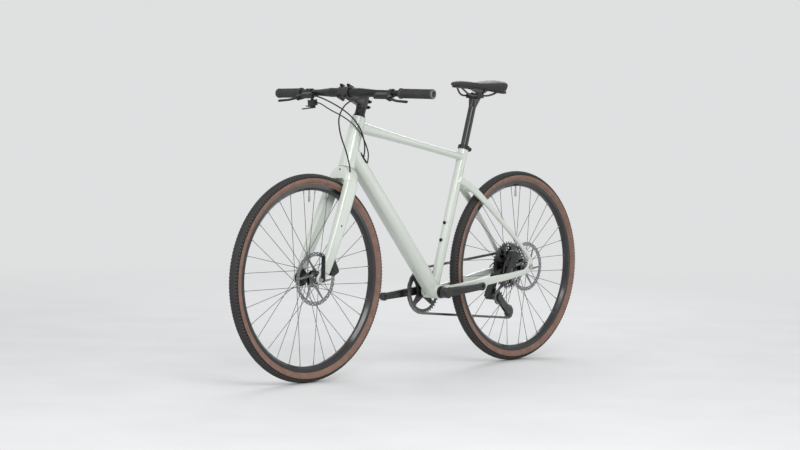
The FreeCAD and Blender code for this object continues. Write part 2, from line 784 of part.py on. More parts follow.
# Rear triangle
def stay(stations, widths, heights, upright_from):
    """A stay lofted through stations; each section stands square to its run."""
    wires = []
    for index, point in enumerate(stations):
        before = stations[max(index - 1, 0)]
        after = stations[min(index + 1, len(stations) - 1)]
        along = unit(after - before)
        across = unit(upright_from.cross(along))
        upright = along.cross(across)
        corner = STAY_CORNER_SHARE * min(widths[index], heights[index])
        wires.append(
            rounded_wire(point, across, upright, widths[index], heights[index], corner)
        )
    return loft(wires)


def chainstay_stations(side):
    """Points along one chainstay, from the bottom bracket to the dropout."""
    rows = zip(CHAINSTAY_STATION_X, CHAINSTAY_STATION_Y, CHAINSTAY_STATION_Z)
    return [BB + V(-back, side * out, rise) for back, out, rise in rows]


def seatstay_stations(side):
    """Points along one seatstay, from the seat tube to the dropout."""
    rows = zip(SEATSTAY_STATION_X, SEATSTAY_STATION_Y, SEATSTAY_STATION_Z)
    return [REAR_AXLE + V(ahead, side * out, rise) for ahead, out, rise in rows]


def dropout_reach(side):
    """The inner face and the thickness direction of one dropout."""
    return V(0, side * REAR_SPACING / 2, 0), LEFT * side


def dropout(side):
    """One rear dropout: an axle eye with an arm to each stay."""
    inner, outward = dropout_reach(side)
    axle = REAR_AXLE + inner
    chain_end = axle + V(DROPOUT_CHAINSTAY_X, 0, -DROPOUT_CHAINSTAY_DROP)
    seat_end = axle + V(DROPOUT_SEATSTAY_X, 0, DROPOUT_SEATSTAY_RISE)
    arms = [
        plate(
            axle,
            chain_end,
            DROPOUT_AXLE_RADIUS,
            DROPOUT_CHAINSTAY_RADIUS,
            outward,
            DROPOUT_THICKNESS,
        ),
        plate(
            axle,
            seat_end,
            DROPOUT_AXLE_RADIUS,
            DROPOUT_SEATSTAY_RADIUS,
            outward,
            DROPOUT_THICKNESS,
        ),
    ]
    through = outward * (DROPOUT_THICKNESS + CUT_OVERRUN)
    hole = rod(axle - outward * CUT_OVERRUN, axle + through, AXLE_RADIUS + RUNNING_FIT)
    return fused(*arms).cut(hole)


def hanger_bolt():
    """The centre of the derailleur bolt on the hanger's outer face."""
    inner, outward = dropout_reach(-1)
    return REAR_AXLE + inner + outward * DROPOUT_THICKNESS + V(HANGER_X, 0, -HANGER_DROP)


def derailleur_hanger():
    """The replaceable tab under the right dropout."""
    outward = LEFT * -1
    bolt = hanger_bolt() - outward * HANGER_THICKNESS
    inner = dropout_reach(-1)[0]
    axle = REAR_AXLE + inner + outward * (DROPOUT_THICKNESS - HANGER_THICKNESS)
    tab = plate(
        axle, bolt, DROPOUT_AXLE_RADIUS, HANGER_RADIUS, outward, HANGER_THICKNESS
    )
    through = outward * (HANGER_THICKNESS + CUT_OVERRUN)
    hole = rod(bolt - outward * CUT_OVERRUN, bolt + through, HANGER_BOLT_RADIUS + RUNNING_FIT)
    return tab.cut(hole)


def rear_triangle():
    """Chainstays, seatstays with their bridge, and dropouts, mitred to each other."""
    drops = [dropout(1), dropout(-1)]
    hanger = derailleur_hanger().cut(drops[1])
    hanger = max(hanger.Solids, key=lambda solid: solid.Volume)
    blocks = drops + [hanger]
    front = [shell_envelope(), seat_envelope(), down_tube()]
    chainstays = []
    seatstays = []
    for side in (1, -1):
        chain = stay(chainstay_stations(side), CHAINSTAY_WIDTHS, CHAINSTAY_HEIGHTS, UP)
        seat = stay(seatstay_stations(side), SEATSTAY_WIDTHS, SEATSTAY_HEIGHTS, UP)
        for block in front + blocks:
            chain = chain.cut(block)
            seat = seat.cut(block)
        chainstays.append(max(chain.Solids, key=lambda solid: solid.Volume))
        seatstays.append(max(seat.Solids, key=lambda solid: solid.Volume))
    seatstays[1] = seatstays[1].cut(seatstays[0])
    bridge_half = LEFT * SEATSTAY_STATION_Y[2]
    bridge_middle = REAR_AXLE + V(BRIDGE_X, 0, BRIDGE_Z)
    bridge = rod(bridge_middle - bridge_half, bridge_middle + bridge_half, BRIDGE_RADIUS)
    bridge = bridge.cut(seatstays[0]).cut(seatstays[1])
    bridge = min(bridge.Solids, key=lambda solid: abs(solid.CenterOfMass.y))
    return chainstays, seatstays + [bridge], blocks


# Fork and headset
CROWN_TOP = AXLE_TO_HEAD - CROWN_TOP_GAP
CROWN_BOTTOM = CROWN_TOP - CROWN_LOWER_DROP


def fork_crown():
    """The fork crown with its steerer, arched over the tyre."""
    stations = (
        (0.0, 0.0, 2 * CROWN_TOP_RADIUS, 2 * CROWN_TOP_RADIUS, CROWN_TOP_RADIUS - SEAT_GAP),
        (CROWN_SHOULDER_DROP, 0.0, CROWN_SHOULDER_WIDTH, CROWN_SHOULDER_DEPTH, CROWN_CORNER),
        (
            CROWN_LOWER_DROP,
            CROWN_LOWER_FORWARD,
            CROWN_LOWER_WIDTH,
            CROWN_LOWER_DEPTH,
            CROWN_CORNER,
        ),
    )
    wires = []
    for drop, forward, width, depth, corner in stations:
        centre = steer_point(CROWN_TOP - drop, forward)
        wires.append(rounded_wire(centre, LEFT, STEER_FORWARD, width, depth, corner))
    arch_half = LEFT * CROWN_ARCH_HALF_WIDTH
    arch = rod(FRONT_AXLE - arch_half, FRONT_AXLE + arch_half, TYRE_RADIUS + CROWN_TYRE_GAP)
    taper_start = AXLE_TO_HEAD + HEAD_BEARING_DEPTH + BEARING_HEIGHT
    taper_end = taper_start + STEERER_TAPER_LENGTH
    steerer_end = STEM_TOP - BEARING_SHOULDER
    race_radius = STEERER_LOWER_RADIUS + STEERER_WALL
    race_top = AXLE_TO_HEAD + BEARING_SHOULDER
    steps = (
        (0.0, CROWN_TOP - STEERER_LOWER_RADIUS),
        (race_radius, CROWN_TOP - STEERER_LOWER_RADIUS),
        (race_radius, race_top),
        (STEERER_LOWER_RADIUS, race_top),
        (STEERER_LOWER_RADIUS, taper_start),
        (STEERER_TOP_RADIUS, taper_end),
        (STEERER_TOP_RADIUS, steerer_end),
        (0.0, steerer_end),
    )
    steerer = disc_stack(steer_point(0), STEER_UP, steps)
    bore = rod(
        steer_point(CROWN_TOP),
        steer_point(steerer_end + CUT_OVERRUN),
        STEERER_TOP_RADIUS - STEERER_WALL,
    )
    return fused(loft(wires).cut(arch), steerer).cut(bore)


def fork_leg(side):
    """One tapered fork leg with the tip that holds the axle."""
    wires = []
    rows = zip(LEG_STATION_DROPS, LEG_STATION_FORWARD, LEG_STATION_Y, LEG_WIDTHS, LEG_DEPTHS)
    for drop, forward, out, width, depth in rows:
        centre = steer_point(CROWN_BOTTOM - drop, forward, side * out)
        corner = LEG_CORNER_SHARE * width
        wires.append(rounded_wire(centre, LEFT, STEER_FORWARD, width, depth, corner))
    inner = V(0, side * FRONT_SPACING / 2, 0)
    outward = LEFT * side
    axle = FRONT_AXLE + inner
    end_t = CROWN_BOTTOM - LEG_STATION_DROPS[-1]
    leg_end = steer_point(end_t, LEG_STATION_FORWARD[-1]) + inner
    tip = plate(
        axle, leg_end, FORK_TIP_RADIUS, LEG_DEPTHS[-1] / 2, outward, FORK_TIP_THICKNESS
    )
    through = outward * (FORK_TIP_THICKNESS + CUT_OVERRUN)
    hole = rod(axle - outward * CUT_OVERRUN, axle + through, AXLE_RADIUS + RUNNING_FIT)
    clear = rod(axle - outward * CUT_OVERRUN, axle, DROPOUT_AXLE_RADIUS)
    eyelet_start = steer_point(FORK_EYELET_T, FORK_EYELET_FORWARD, side * FORK_EYELET_Y)
    eyelet = rod(eyelet_start, eyelet_start + outward * FORK_EYELET_REACH, FORK_EYELET_RADIUS)
    return fused(loft(wires), tip).cut(hole).cut(clear).cut(eyelet)


def headset():
    """Bearings, cover, spacers and top cap around the steerer."""
    lower = AXLE_TO_HEAD + BEARING_SHOULDER
    upper = HEAD_TOP - BEARING_SHOULDER - BEARING_HEIGHT
    bore = STEERER_TOP_RADIUS + RUNNING_FIT
    lower_bearing = pipe(
        steer_point(lower),
        steer_point(lower + BEARING_HEIGHT),
        LOWER_BEARING_RADIUS,
        STEERER_LOWER_RADIUS + RUNNING_FIT,
    )
    upper_bearing = pipe(
        steer_point(upper), steer_point(upper + BEARING_HEIGHT), UPPER_BEARING_RADIUS, bore
    )
    lip = STEERER_TOP_RADIUS + STEERER_WALL
    cover = disc_stack(
        steer_point(HEAD_TOP),
        STEER_UP,
        (
            (bore, -BEARING_SHOULDER),
            (lip, -BEARING_SHOULDER),
            (lip, BEARING_SHOULDER),
            (HEADSET_COVER_RADIUS, BEARING_SHOULDER),
            (SPACER_RADIUS, HEADSET_COVER_HEIGHT),
            (bore, HEADSET_COVER_HEIGHT),
        ),
    )
    pieces = [lower_bearing, upper_bearing, cover]
    for index in range(SPACER_COUNT):
        start = HEAD_TOP + HEADSET_COVER_HEIGHT + index * SPACER_HEIGHT
        end = start + SPACER_HEIGHT
        pieces.append(pipe(steer_point(start), steer_point(end), SPACER_RADIUS, bore))
    cap_end = STEM_TOP + TOP_CAP_HEIGHT
    pieces.append(rod(steer_point(STEM_TOP), steer_point(cap_end), SPACER_RADIUS))
    return pieces


# Stem and handlebar
STEM_MIDDLE = steer_point((STEM_BOTTOM + STEM_TOP) / 2)
STEM_ALONG = turned(90 - HEAD_ANGLE + STEM_RISE)
STEM_UPRIGHT = turned(180 - HEAD_ANGLE + STEM_RISE)
BAR = STEM_MIDDLE + STEM_ALONG * STEM_LENGTH


def stem_block():
    """Stem and faceplate in one, before they are parted."""
    column = rod(steer_point(STEM_BOTTOM), steer_point(STEM_TOP), STEM_CLAMP_RADIUS)
    half = LEFT * (STEM_BAR_CLAMP_WIDTH / 2)
    clamp = rod(BAR - half, BAR + half, STEM_BAR_CLAMP_RADIUS)
    wires = [
        rounded_wire(
            point, LEFT, STEM_UPRIGHT, STEM_BODY_WIDTH, STEM_BODY_HEIGHT, STEM_BODY_CORNER
        )
        for point in (STEM_MIDDLE, BAR)
    ]
    lugs = []
    for across, upright in faceplate_corners():
        lug = BAR + LEFT * across + STEM_UPRIGHT * upright
        reach = STEM_ALONG * BOLT_LUG_REACH
        lugs.append(rod(lug - reach, lug + reach, FACEPLATE_LUG_RADIUS))
    pinches = [rod(start, end, FACEPLATE_LUG_RADIUS) for start, end in pinch_bolts()]
    return fused(column, clamp, loft(wires), *lugs, *pinches)


def faceplate_corners():
    """Where the four faceplate bolts stand, as across and upright offsets."""
    sign_pairs = ((1, 1), (1, -1), (-1, 1), (-1, -1))
    return [(a * FACEPLATE_BOLT_SPREAD_Y, b * FACEPLATE_BOLT_SPREAD_Z) for a, b in sign_pairs]


def pinch_bolts():
    """End points of the two bosses behind the steerer clamp."""
    half = STEM_PINCH_WIDTH / 2
    places = (STEM_BOTTOM + STEM_PINCH_INSET, STEM_TOP - STEM_PINCH_INSET)
    back = -STEM_CLAMP_RADIUS
    return [(steer_point(at, back, half), steer_point(at, back, -half)) for at in places]


def stem_pieces():
    """The stem and its faceplate, parted across the bar."""
    block = stem_block()
    bore_end = steer_point(STEM_TOP + CUT_OVERRUN)
    block = block.cut(rod(steer_point(STEM_BOTTOM - CUT_OVERRUN), bore_end, steerer_fit()))
    half = LEFT * (STEM_BAR_CLAMP_WIDTH / 2 + CUT_OVERRUN)
    block = block.cut(rod(BAR - half, BAR + half, BAR_CLAMP_RADIUS + RUNNING_FIT))
    size = 2 * STEM_LENGTH
    gap = FACEPLATE_GAP / 2
    corner = STEM_BODY_CORNER
    front = rounded_wire(BAR - STEM_ALONG * gap, LEFT, STEM_UPRIGHT, size, size, corner)
    front_space = Part.Face(front).extrude(STEM_ALONG * size)
    gap_slab = Part.Face(front).extrude(STEM_ALONG * FACEPLATE_GAP)
    return block.cut(front_space), block.common(front_space).cut(gap_slab)


def steerer_fit():
    """The stem's bore radius on the steerer."""
    return STEERER_TOP_RADIUS + RUNNING_FIT


def cockpit_bolts():
    """Faceplate bolts, steerer pinch bolts and the top cap bolt, as their heads."""
    heads = []
    for across, upright in faceplate_corners():
        seat = BAR + LEFT * across + STEM_UPRIGHT * upright + STEM_ALONG * BOLT_LUG_REACH
        heads.append(rod(seat, seat + STEM_ALONG * BOLT_HEAD_HEIGHT, BOLT_HEAD_RADIUS))
    for start in [bolt[0] for bolt in pinch_bolts()]:
        heads.append(rod(start, start + LEFT * BOLT_HEAD_HEIGHT, BOLT_HEAD_RADIUS))
    cap = steer_point(STEM_TOP + TOP_CAP_HEIGHT)
    heads.append(rod(cap, cap + STEER_UP * BOLT_HEAD_RISE, BOLT_HEAD_RADIUS))
    return heads


def bar_way(side):
    """The swept direction of one side of the bar, from the bend to its end."""
    sweep = math.radians(BAR_SWEEP)
    droop = math.radians(BAR_DROOP)
    flat = V(-math.sin(sweep), side * math.cos(sweep), 0)
    return unit(flat * math.cos(droop) - UP * math.sin(droop))


def bar_bend(side):
    """Where one side of the bar starts to sweep back."""
    return BAR + LEFT * (side * BAR_BEND_Y)


def bar_end(side):
    """The end of one side of the bar."""
    way = bar_way(side)
    return bar_bend(side) + way * ((BAR_HALF_WIDTH - BAR_BEND_Y) / abs(way.y))


def handlebar():
    """The flat bar: a thick middle, two tapers and two swept ends, bored from each end."""
    shapes = [rod(bar_bend(-1), bar_bend(1), BAR_CLAMP_RADIUS)]
    bores = []
    for side in (1, -1):
        way = bar_way(side)
        bend = bar_bend(side)
        taper_end = bend + way * BAR_TAPER_LENGTH
        shapes.append(Part.makeSphere(BAR_CLAMP_RADIUS, bend))
        cone = Part.makeCone(BAR_CLAMP_RADIUS, BAR_GRIP_RADIUS, BAR_TAPER_LENGTH, bend, way)
        shapes.append(cone)
        shapes.append(rod(taper_end, bar_end(side), BAR_GRIP_RADIUS))
        bores.append(rod(bend, bar_end(side) + way * CUT_OVERRUN, BAR_GRIP_RADIUS - BAR_WALL))
    return fused(*shapes).cut(bores[0]).cut(bores[1])


def grip(side):
    """One grip sleeve, flanged at its inner end."""
    way = bar_way(side)
    end = bar_end(side)
    inner = end - way * GRIP_LENGTH
    sleeve = pipe(inner, end, GRIP_RADIUS, BAR_GRIP_RADIUS + SEAT_GAP)
    flange_end = inner + way * GRIP_FLANGE_LENGTH
    flange = pipe(inner, flange_end, GRIP_FLANGE_RADIUS, BAR_GRIP_RADIUS + SEAT_GAP)
    return fused(sleeve, flange)


def bar_plug(side):
    """One end plug, with a cap over the grip's end."""
    way = bar_way(side)
    end = bar_end(side)
    core = rod(end - way * BAR_PLUG_LENGTH, end, BAR_GRIP_RADIUS - BAR_WALL - SEAT_GAP)
    cap = rod(end, end + way * BAR_PLUG_CAP, GRIP_RADIUS)
    return fused(core, cap)


# Brake and shift controls
class ControlFrame:
    """Directions at one side's controls: outward along the bar, forward and up, tilted."""

    def __init__(self, side, tilt):
        angle = math.radians(tilt)
        self.side = side
        self.out = bar_way(side)
        level = unit(self.out.cross(UP) * side)
        upright = unit(level.cross(self.out) * side)
        self.forward = level * math.cos(angle) - upright * math.sin(angle)
        self.up = level * math.sin(angle) + upright * math.cos(angle)

    def at(self, from_end, out=0, forward=0, up=0):
        """A point measured from the bar's end, then by offsets."""
        base = bar_end(self.side) - self.out * from_end
        return base + self.out * out + self.forward * forward + self.up * up


def flat_plate(frame, first, second, radii, level, thickness):
    """A plate square to the frame's up direction, starting at a level."""
    start = first + frame.up * level
    return plate(start, second + frame.up * level, radii[0], radii[1], frame.up, thickness)


def lever_pivot(frame):
    """The brake lever's pivot centre."""
    return frame.at(LEVER_CLAMP_FROM_END, LEVER_PIVOT_OUTBOARD, LEVER_PIVOT_FORWARD)


def brake_body(side):
    """Clamp, neck, master cylinder, reservoir, ears and pivot pin in one casting."""
    frame = ControlFrame(side, CONTROL_TILT)
    face = frame.at(LEVER_CLAMP_FROM_END)
    back = frame.out * -LEVER_CLAMP_WIDTH
    clamp = rod(face, face + back, LEVER_CLAMP_RADIUS)
    master = frame.at(LEVER_CLAMP_FROM_END, 0, MASTER_FORWARD)
    cylinder = rod(master, master - frame.out * MASTER_INBOARD, MASTER_RADIUS)
    neck = plate(face, master, MASTER_RADIUS, MASTER_RADIUS, frame.out * -1, LEVER_CLAMP_WIDTH)
    tank_near = master - frame.out * LEVER_CLAMP_WIDTH
    tank_far = master - frame.out * (MASTER_INBOARD - LEVER_CLAMP_WIDTH)
    tank = flat_plate(
        frame, tank_near, tank_far, (MASTER_RADIUS, MASTER_RADIUS), 0, MASTER_RADIUS + RESERVOIR_RISE
    )
    half = LEVER_BLADE_THICKNESS / 2 + BODY_GAP
    pivot = lever_pivot(frame)
    ear_root = master - frame.out * MASTER_RADIUS
    radii = (LEVER_EAR_RADIUS, LEVER_EAR_RADIUS)
    ears = [
        flat_plate(frame, ear_root, pivot, radii, level, LEVER_EAR_THICKNESS)
        for level in (half, -half - LEVER_EAR_THICKNESS)
    ]
    reach = frame.up * (half + LEVER_EAR_THICKNESS)
    pin = rod(pivot - reach, pivot + reach, LEVER_PIVOT_RADIUS)
    far = face + back - frame.out * CUT_OVERRUN
    bore = rod(face + frame.out * CUT_OVERRUN, far, BAR_GRIP_RADIUS + SEAT_GAP)
    return fused(clamp, cylinder, neck, tank, *ears, pin).cut(bore)


def brake_lever(side):
    """One brake lever blade, bent forward and then running out along the grip."""
    frame = ControlFrame(side, CONTROL_TILT)
    pivot = lever_pivot(frame)
    bend = pivot + frame.out * LEVER_BEND_OUTBOARD + frame.forward * LEVER_BEND_FORWARD
    tip = pivot + frame.out * LEVER_TIP_OUTBOARD + frame.forward * LEVER_TIP_FORWARD
    level = -LEVER_BLADE_THICKNESS / 2
    root_radii = (LEVER_EAR_RADIUS - 2 * BODY_GAP, LEVER_BLADE_RADIUS)
    tip_radii = (LEVER_BLADE_RADIUS, LEVER_TIP_RADIUS)
    root = flat_plate(frame, pivot, bend, root_radii, level, LEVER_BLADE_THICKNESS)
    blade = flat_plate(frame, bend, tip, tip_radii, level, LEVER_BLADE_THICKNESS)
    reach = frame.up * LEVER_BLADE_THICKNESS
    hole = rod(pivot - reach, pivot + reach, LEVER_PIVOT_RADIUS + RUNNING_FIT)
    return fused(root, blade).cut(hole)


def shifter_parts():
    """The shifter body under the right of the bar, its thumb lever and its release lever."""
    frame = ControlFrame(-1, SHIFTER_TILT)
    face = frame.at(SHIFTER_FROM_END)
    back = frame.out * -SHIFTER_CLAMP_WIDTH
    clamp = rod(face, face + back, LEVER_CLAMP_RADIUS)
    centre = face + back / 2
    pod_top = centre - frame.up * SHIFTER_DROP
    pod_end = pod_top - frame.up * SHIFTER_HEIGHT
    pod = rod(pod_top, pod_end, SHIFTER_RADIUS)
    neck = rod(centre, pod_top - frame.up * BODY_GAP, SHIFTER_CLAMP_WIDTH / 2)
    pin_length = 2 * SHIFT_PADDLE_THICKNESS + 3 * SHIFT_PADDLE_STEP
    pin = rod(pod_end, pod_end - frame.up * pin_length, SHIFTER_PIVOT_RADIUS)
    bore_far = face + back - frame.out * CUT_OVERRUN
    bore = rod(face + frame.out * CUT_OVERRUN, bore_far, BAR_GRIP_RADIUS + SEAT_GAP)
    body = fused(clamp, neck, pod, pin).cut(bore)
    levers = []
    ways = (
        (frame.out * SHIFT_PADDLE_LENGTH - frame.forward * SHIFT_PADDLE_BACK, SHIFT_PADDLE_RADIUS),
        (frame.forward * SHIFT_TRIGGER_LENGTH + frame.out * SHIFT_PADDLE_BACK, SHIFT_TRIGGER_RADIUS),
    )
    for index, (way, tip_radius) in enumerate(ways):
        drop = SHIFT_PADDLE_STEP + index * (SHIFT_PADDLE_THICKNESS + SHIFT_PADDLE_STEP)
        hub = pod_end - frame.up * drop
        radii = (SHIFT_HUB_RADIUS, tip_radius)
        down = frame.up * -1
        arm = plate(hub, hub + way, radii[0], radii[1], down, SHIFT_PADDLE_THICKNESS)
        hole_start = hub + frame.up * SHIFT_PADDLE_STEP
        hole = rod(hole_start, hub - frame.up * 2 * SHIFT_PADDLE_THICKNESS, pin_fit())
        levers.append(arm.cut(hole))
    return body, levers


def pin_fit():
    """The shift levers' bore radius on their pin."""
    return SHIFTER_PIVOT_RADIUS + RUNNING_FIT


# Wheels
def tyre(axle):
    """A tyre with its casing, its tread cap and its two beads."""
    bead = RIM_BEAD_RADIUS + SEAT_GAP
    outside = RIM_HALF_WIDTH - RIM_FLANGE_THICKNESS - SEAT_GAP
    over_flange = RIM_FLANGE_RADIUS + BODY_GAP
    skin = TYRE_THICKNESS

    def place(radius, across):
        return axle + UP * radius + LEFT * across

    def side_edges(sign, shrink, bead_half):
        start = place(over_flange, sign * bead_half)
        widest = place(TYRE_WIDEST_RADIUS, sign * (TYRE_HALF_WIDTH - shrink))
        edge = place(TYRE_TREAD_RADIUS - shrink, sign * (TYRE_TREAD_HALF_WIDTH - shrink))
        return start, widest, edge

    outer = side_edges(1, 0, outside)
    inner = side_edges(1, skin, outside - skin)
    outer_far = side_edges(-1, 0, outside)
    inner_far = side_edges(-1, skin, outside - skin)
    crown = place(TYRE_RADIUS, 0)
    under = place(TYRE_RADIUS - skin, 0)
    edges = [
        Part.makeLine(place(bead, outside), outer[0]),
        Part.Arc(*outer).toShape(),
        Part.Arc(outer[2], crown, outer_far[2]).toShape(),
        Part.Arc(*reversed(outer_far)).toShape(),
        Part.makeLine(outer_far[0], place(bead, -outside)),
        Part.makeLine(place(bead, -outside), place(bead, skin - outside)),
        Part.makeLine(place(bead, skin - outside), inner_far[0]),
        Part.Arc(*inner_far).toShape(),
        Part.Arc(inner_far[2], under, inner[2]).toShape(),
        Part.Arc(*reversed(inner)).toShape(),
        Part.makeLine(inner[0], place(bead, outside - skin)),
        Part.makeLine(place(bead, outside - skin), place(bead, outside)),
    ]
    return Part.Face(Part.Wire(edges)).revolve(axle, LEFT, 360)


def rim(axle):
    """A hollow double-wall rim with hooked flanges."""
    lip = RIM_HALF_WIDTH - RIM_FLANGE_THICKNESS
    half_outline = (
        (RIM_WELL_RADIUS, RIM_WELL_HALF_WIDTH),
        (RIM_BEAD_RADIUS, lip - RIM_WALL),
        (RIM_BEAD_RADIUS, lip),
        (RIM_FLANGE_RADIUS, lip),
        (RIM_FLANGE_RADIUS, RIM_HALF_WIDTH),
        (RIM_SHOULDER_RADIUS, RIM_HALF_WIDTH),
        (RIM_INNER_RADIUS, RIM_BED_HALF_WIDTH),
    )
    hollow_half = (
        (RIM_WELL_RADIUS - RIM_WALL, RIM_WELL_HALF_WIDTH),
        (RIM_SHOULDER_RADIUS, RIM_HALF_WIDTH - 2 * RIM_WALL),
        (RIM_INNER_RADIUS + RIM_WALL, RIM_BED_HALF_WIDTH - RIM_WALL),
    )
    solids = []
    for half in (half_outline, hollow_half):
        far_half = [(radius, -across) for radius, across in reversed(half)]
        solids.append(disc_stack(axle, LEFT, list(half) + far_half))
    return solids[0].cut(solids[1])


def around(axle, radius, degrees, across):
    """A point on a circle around an axle; zero degrees is up."""
    angle = math.radians(degrees)
    return axle + V(radius * math.sin(angle), across, radius * math.cos(angle))


def spokes_and_nipples(axle, flange_left, flange_right):
    """Crossed spokes from both flanges to the rim, and their nipples."""
    spokes = []
    nipples = []
    per_side = SPOKE_COUNT // 2
    step = 360 / per_side
    for side, flange in ((1, flange_left), (-1, flange_right)):
        for index in range(per_side):
            lead = 1 if index % 2 == 0 else -1
            rim_angle = (index + SPOKE_SIDE_SHARES[side]) * step
            hub_angle = rim_angle + lead * SPOKE_CROSSES * step
            standoff = FLANGE_SPOKE_OUTER if lead > 0 else -FLANGE_SPOKE_INNER
            across = side * (flange + standoff)
            hub = around(axle, FLANGE_HOLE_RADIUS, hub_angle, across)
            seat_radius = RIM_INNER_RADIUS - BODY_GAP
            seat = around(axle, seat_radius, rim_angle, side * SPOKE_RIM_OFFSET)
            nipple_end = seat + unit(hub - seat) * NIPPLE_LENGTH
            nipples.append(rod(seat, nipple_end, NIPPLE_RADIUS))
            spokes.append(rod(nipple_end, hub, SPOKE_RADIUS))
    return spokes, nipples


def valve(axle):
    """The valve stem and its cap, standing in from the rim at the top."""
    seat = axle + UP * (RIM_INNER_RADIUS - SEAT_GAP)
    stem_end = seat - UP * VALVE_LENGTH
    cap_start = stem_end + UP * VALVE_CAP_LENGTH
    stem = rod(seat, stem_end, VALVE_RADIUS)
    return fused(stem, rod(cap_start, stem_end - UP * VALVE_RADIUS, VALVE_CAP_RADIUS))


def hub(axle, left_end, right_end, flange_left, flange_right, rotor_y):
    """A hub shell with two spoke flanges and a boss for the rotor."""
    left = axle + LEFT * left_end
    right = axle - LEFT * right_end
    shapes = [rod(right, left, HUB_SHELL_RADIUS)]
    for across in (flange_left, -flange_right):
        middle = axle + LEFT * across
        half = LEFT * FLANGE_HALF_THICKNESS
        shapes.append(rod(middle - half, middle + half, FLANGE_RADIUS))
    shoulder = axle + LEFT * (rotor_y - ROTOR_THICKNESS / 2)
    boss = axle + LEFT * (flange_left + FLANGE_HALF_THICKNESS)
    shapes.append(rod(boss, left, ROTOR_BORE_RADIUS - RUNNING_FIT))
    shapes.append(rod(shoulder - LEFT * FLANGE_HALF_THICKNESS, shoulder, LOCKRING_RADIUS))
    overrun = LEFT * CUT_OVERRUN
    bore = rod(right - overrun, left + overrun, HUB_BEARING_RADIUS + RUNNING_FIT)
    return fused(*shapes).cut(bore)


def hub_fittings(axle, left_end, right_end, rotor_y):
    """The two wheel bearings and the rotor lockring."""
    pieces = []
    for across, way in ((left_end, -1), (-right_end, 1)):
        start = axle + LEFT * across
        end = start + LEFT * (way * HUB_BEARING_WIDTH)
        pieces.append(pipe(start, end, HUB_BEARING_RADIUS, AXLE_RADIUS + RUNNING_FIT))
    face = axle + LEFT * (rotor_y + ROTOR_THICKNESS / 2)
    ring_end = face + LEFT * LOCKRING_THICKNESS
    pieces.append(pipe(face, ring_end, LOCKRING_RADIUS, ROTOR_BORE_RADIUS + RUNNING_FIT))
    return pieces


def rotor(axle, across):
    """A brake disc: a drilled, waved track on six swept arms."""
    start = axle + LEFT * (across - ROTOR_THICKNESS / 2)
    end = start + LEFT * ROTOR_THICKNESS
    track = pipe(start, end, ROTOR_RADIUS, ROTOR_TRACK_RADIUS)
    cutters = []
    back = LEFT * CUT_OVERRUN
    wave_at = start + UP * (ROTOR_RADIUS + ROTOR_WAVE_RADIUS - ROTOR_THICKNESS) - back
    wave = Part.makeCylinder(ROTOR_WAVE_RADIUS, 3 * CUT_OVERRUN, wave_at, LEFT)
    cutters += ring_of(wave, axle, LEFT, ROTOR_WAVE_COUNT)
    band = (ROTOR_RADIUS - ROTOR_TRACK_RADIUS) / (ROTOR_HOLE_RINGS + 1)
    for ring_index in range(ROTOR_HOLE_RINGS):
        at = start + UP * (ROTOR_TRACK_RADIUS + band * (ring_index + 1)) - back
        hole = Part.makeCylinder(ROTOR_HOLE_RADIUS, 3 * CUT_OVERRUN, at, LEFT)
        hole.rotate(axle, LEFT, 360 * ring_index / (2 * ROTOR_HOLE_COUNT))
        cutters += ring_of(hole, axle, LEFT, ROTOR_HOLE_COUNT)
    track = track.cut(Part.makeCompound(cutters))
    centre = pipe(start, end, ROTOR_CENTRE_RADIUS, ROTOR_BORE_RADIUS)
    inner_radius = ROTOR_CENTRE_RADIUS - ROTOR_ARM_HALF_WIDTH / 2
    outer_radius = ROTOR_TRACK_RADIUS + ROTOR_ARM_HALF_WIDTH / 2
    arm = plate(
        around(start, inner_radius, 0, 0),
        around(start, outer_radius, ROTOR_ARM_SWEEP, 0),
        ROTOR_ARM_HALF_WIDTH,
        ROTOR_ARM_HALF_WIDTH / 2,
        LEFT,
        ROTOR_THICKNESS,
    )
    bore = rod(start - back, end + back, ROTOR_BORE_RADIUS)
    arms = [copy.cut(bore) for copy in ring_of(arm, axle, LEFT, ROTOR_ARM_COUNT)]
    return fused(track, centre, *arms)


def caliper(axle, across, degrees, foot_tip, foot_body):
    """A caliper on the rotor's rim with its pads; its foot stands on foot_body."""
    centre = around(axle, CALIPER_CENTRE_RADIUS, degrees, across)
    radial = unit(around(axle, ROTOR_RADIUS, degrees, 0) - axle)
    run = LEFT.cross(radial)
    inboard = centre - LEFT * CALIPER_INBOARD
    wire = rounded_wire(inboard, run, radial, CALIPER_LENGTH, CALIPER_HEIGHT, CALIPER_CORNER)
    block = Part.Face(wire).extrude(LEFT * (CALIPER_INBOARD + CALIPER_OUTBOARD))
    outboard = centre + LEFT * CALIPER_OUTBOARD
    piston = rod(centre + LEFT * CALIPER_SLOT, outboard + LEFT * CALIPER_PISTON_RISE, CALIPER_PISTON_RADIUS)
    foot = rod(centre + run * CALIPER_FOOT_RUN + LEFT * CALIPER_SLOT, foot_tip, CALIPER_FOOT_RADIUS)
    second = rod(centre - run * CALIPER_FOOT_RUN + LEFT * CALIPER_SLOT, foot_tip, CALIPER_FOOT_RADIUS)
    rotor_space = rod(
        axle + LEFT * (across - CALIPER_SLOT / 2),
        axle + LEFT * (across + CALIPER_SLOT / 2),
        ROTOR_RADIUS + CALIPER_ROTOR_GAP,
    )
    body = fused(block, piston, foot, second).cut(rotor_space).cut(foot_body)
    body = max(body.Solids, key=lambda solid: solid.Volume)
    pads = []
    for way in (1, -1):
        face = centre + LEFT * (way * (ROTOR_THICKNESS / 2 + PAD_GAP)) - radial * PAD_INSET
        depth = CALIPER_SLOT / 2 - ROTOR_THICKNESS / 2 - PAD_GAP - SEAT_GAP
        pad_wire = rounded_wire(face, run, radial, PAD_LENGTH, PAD_HEIGHT, PAD_CORNER)
        pads.append(Part.Face(pad_wire).extrude(LEFT * (way * depth)))
    return [body] + pads


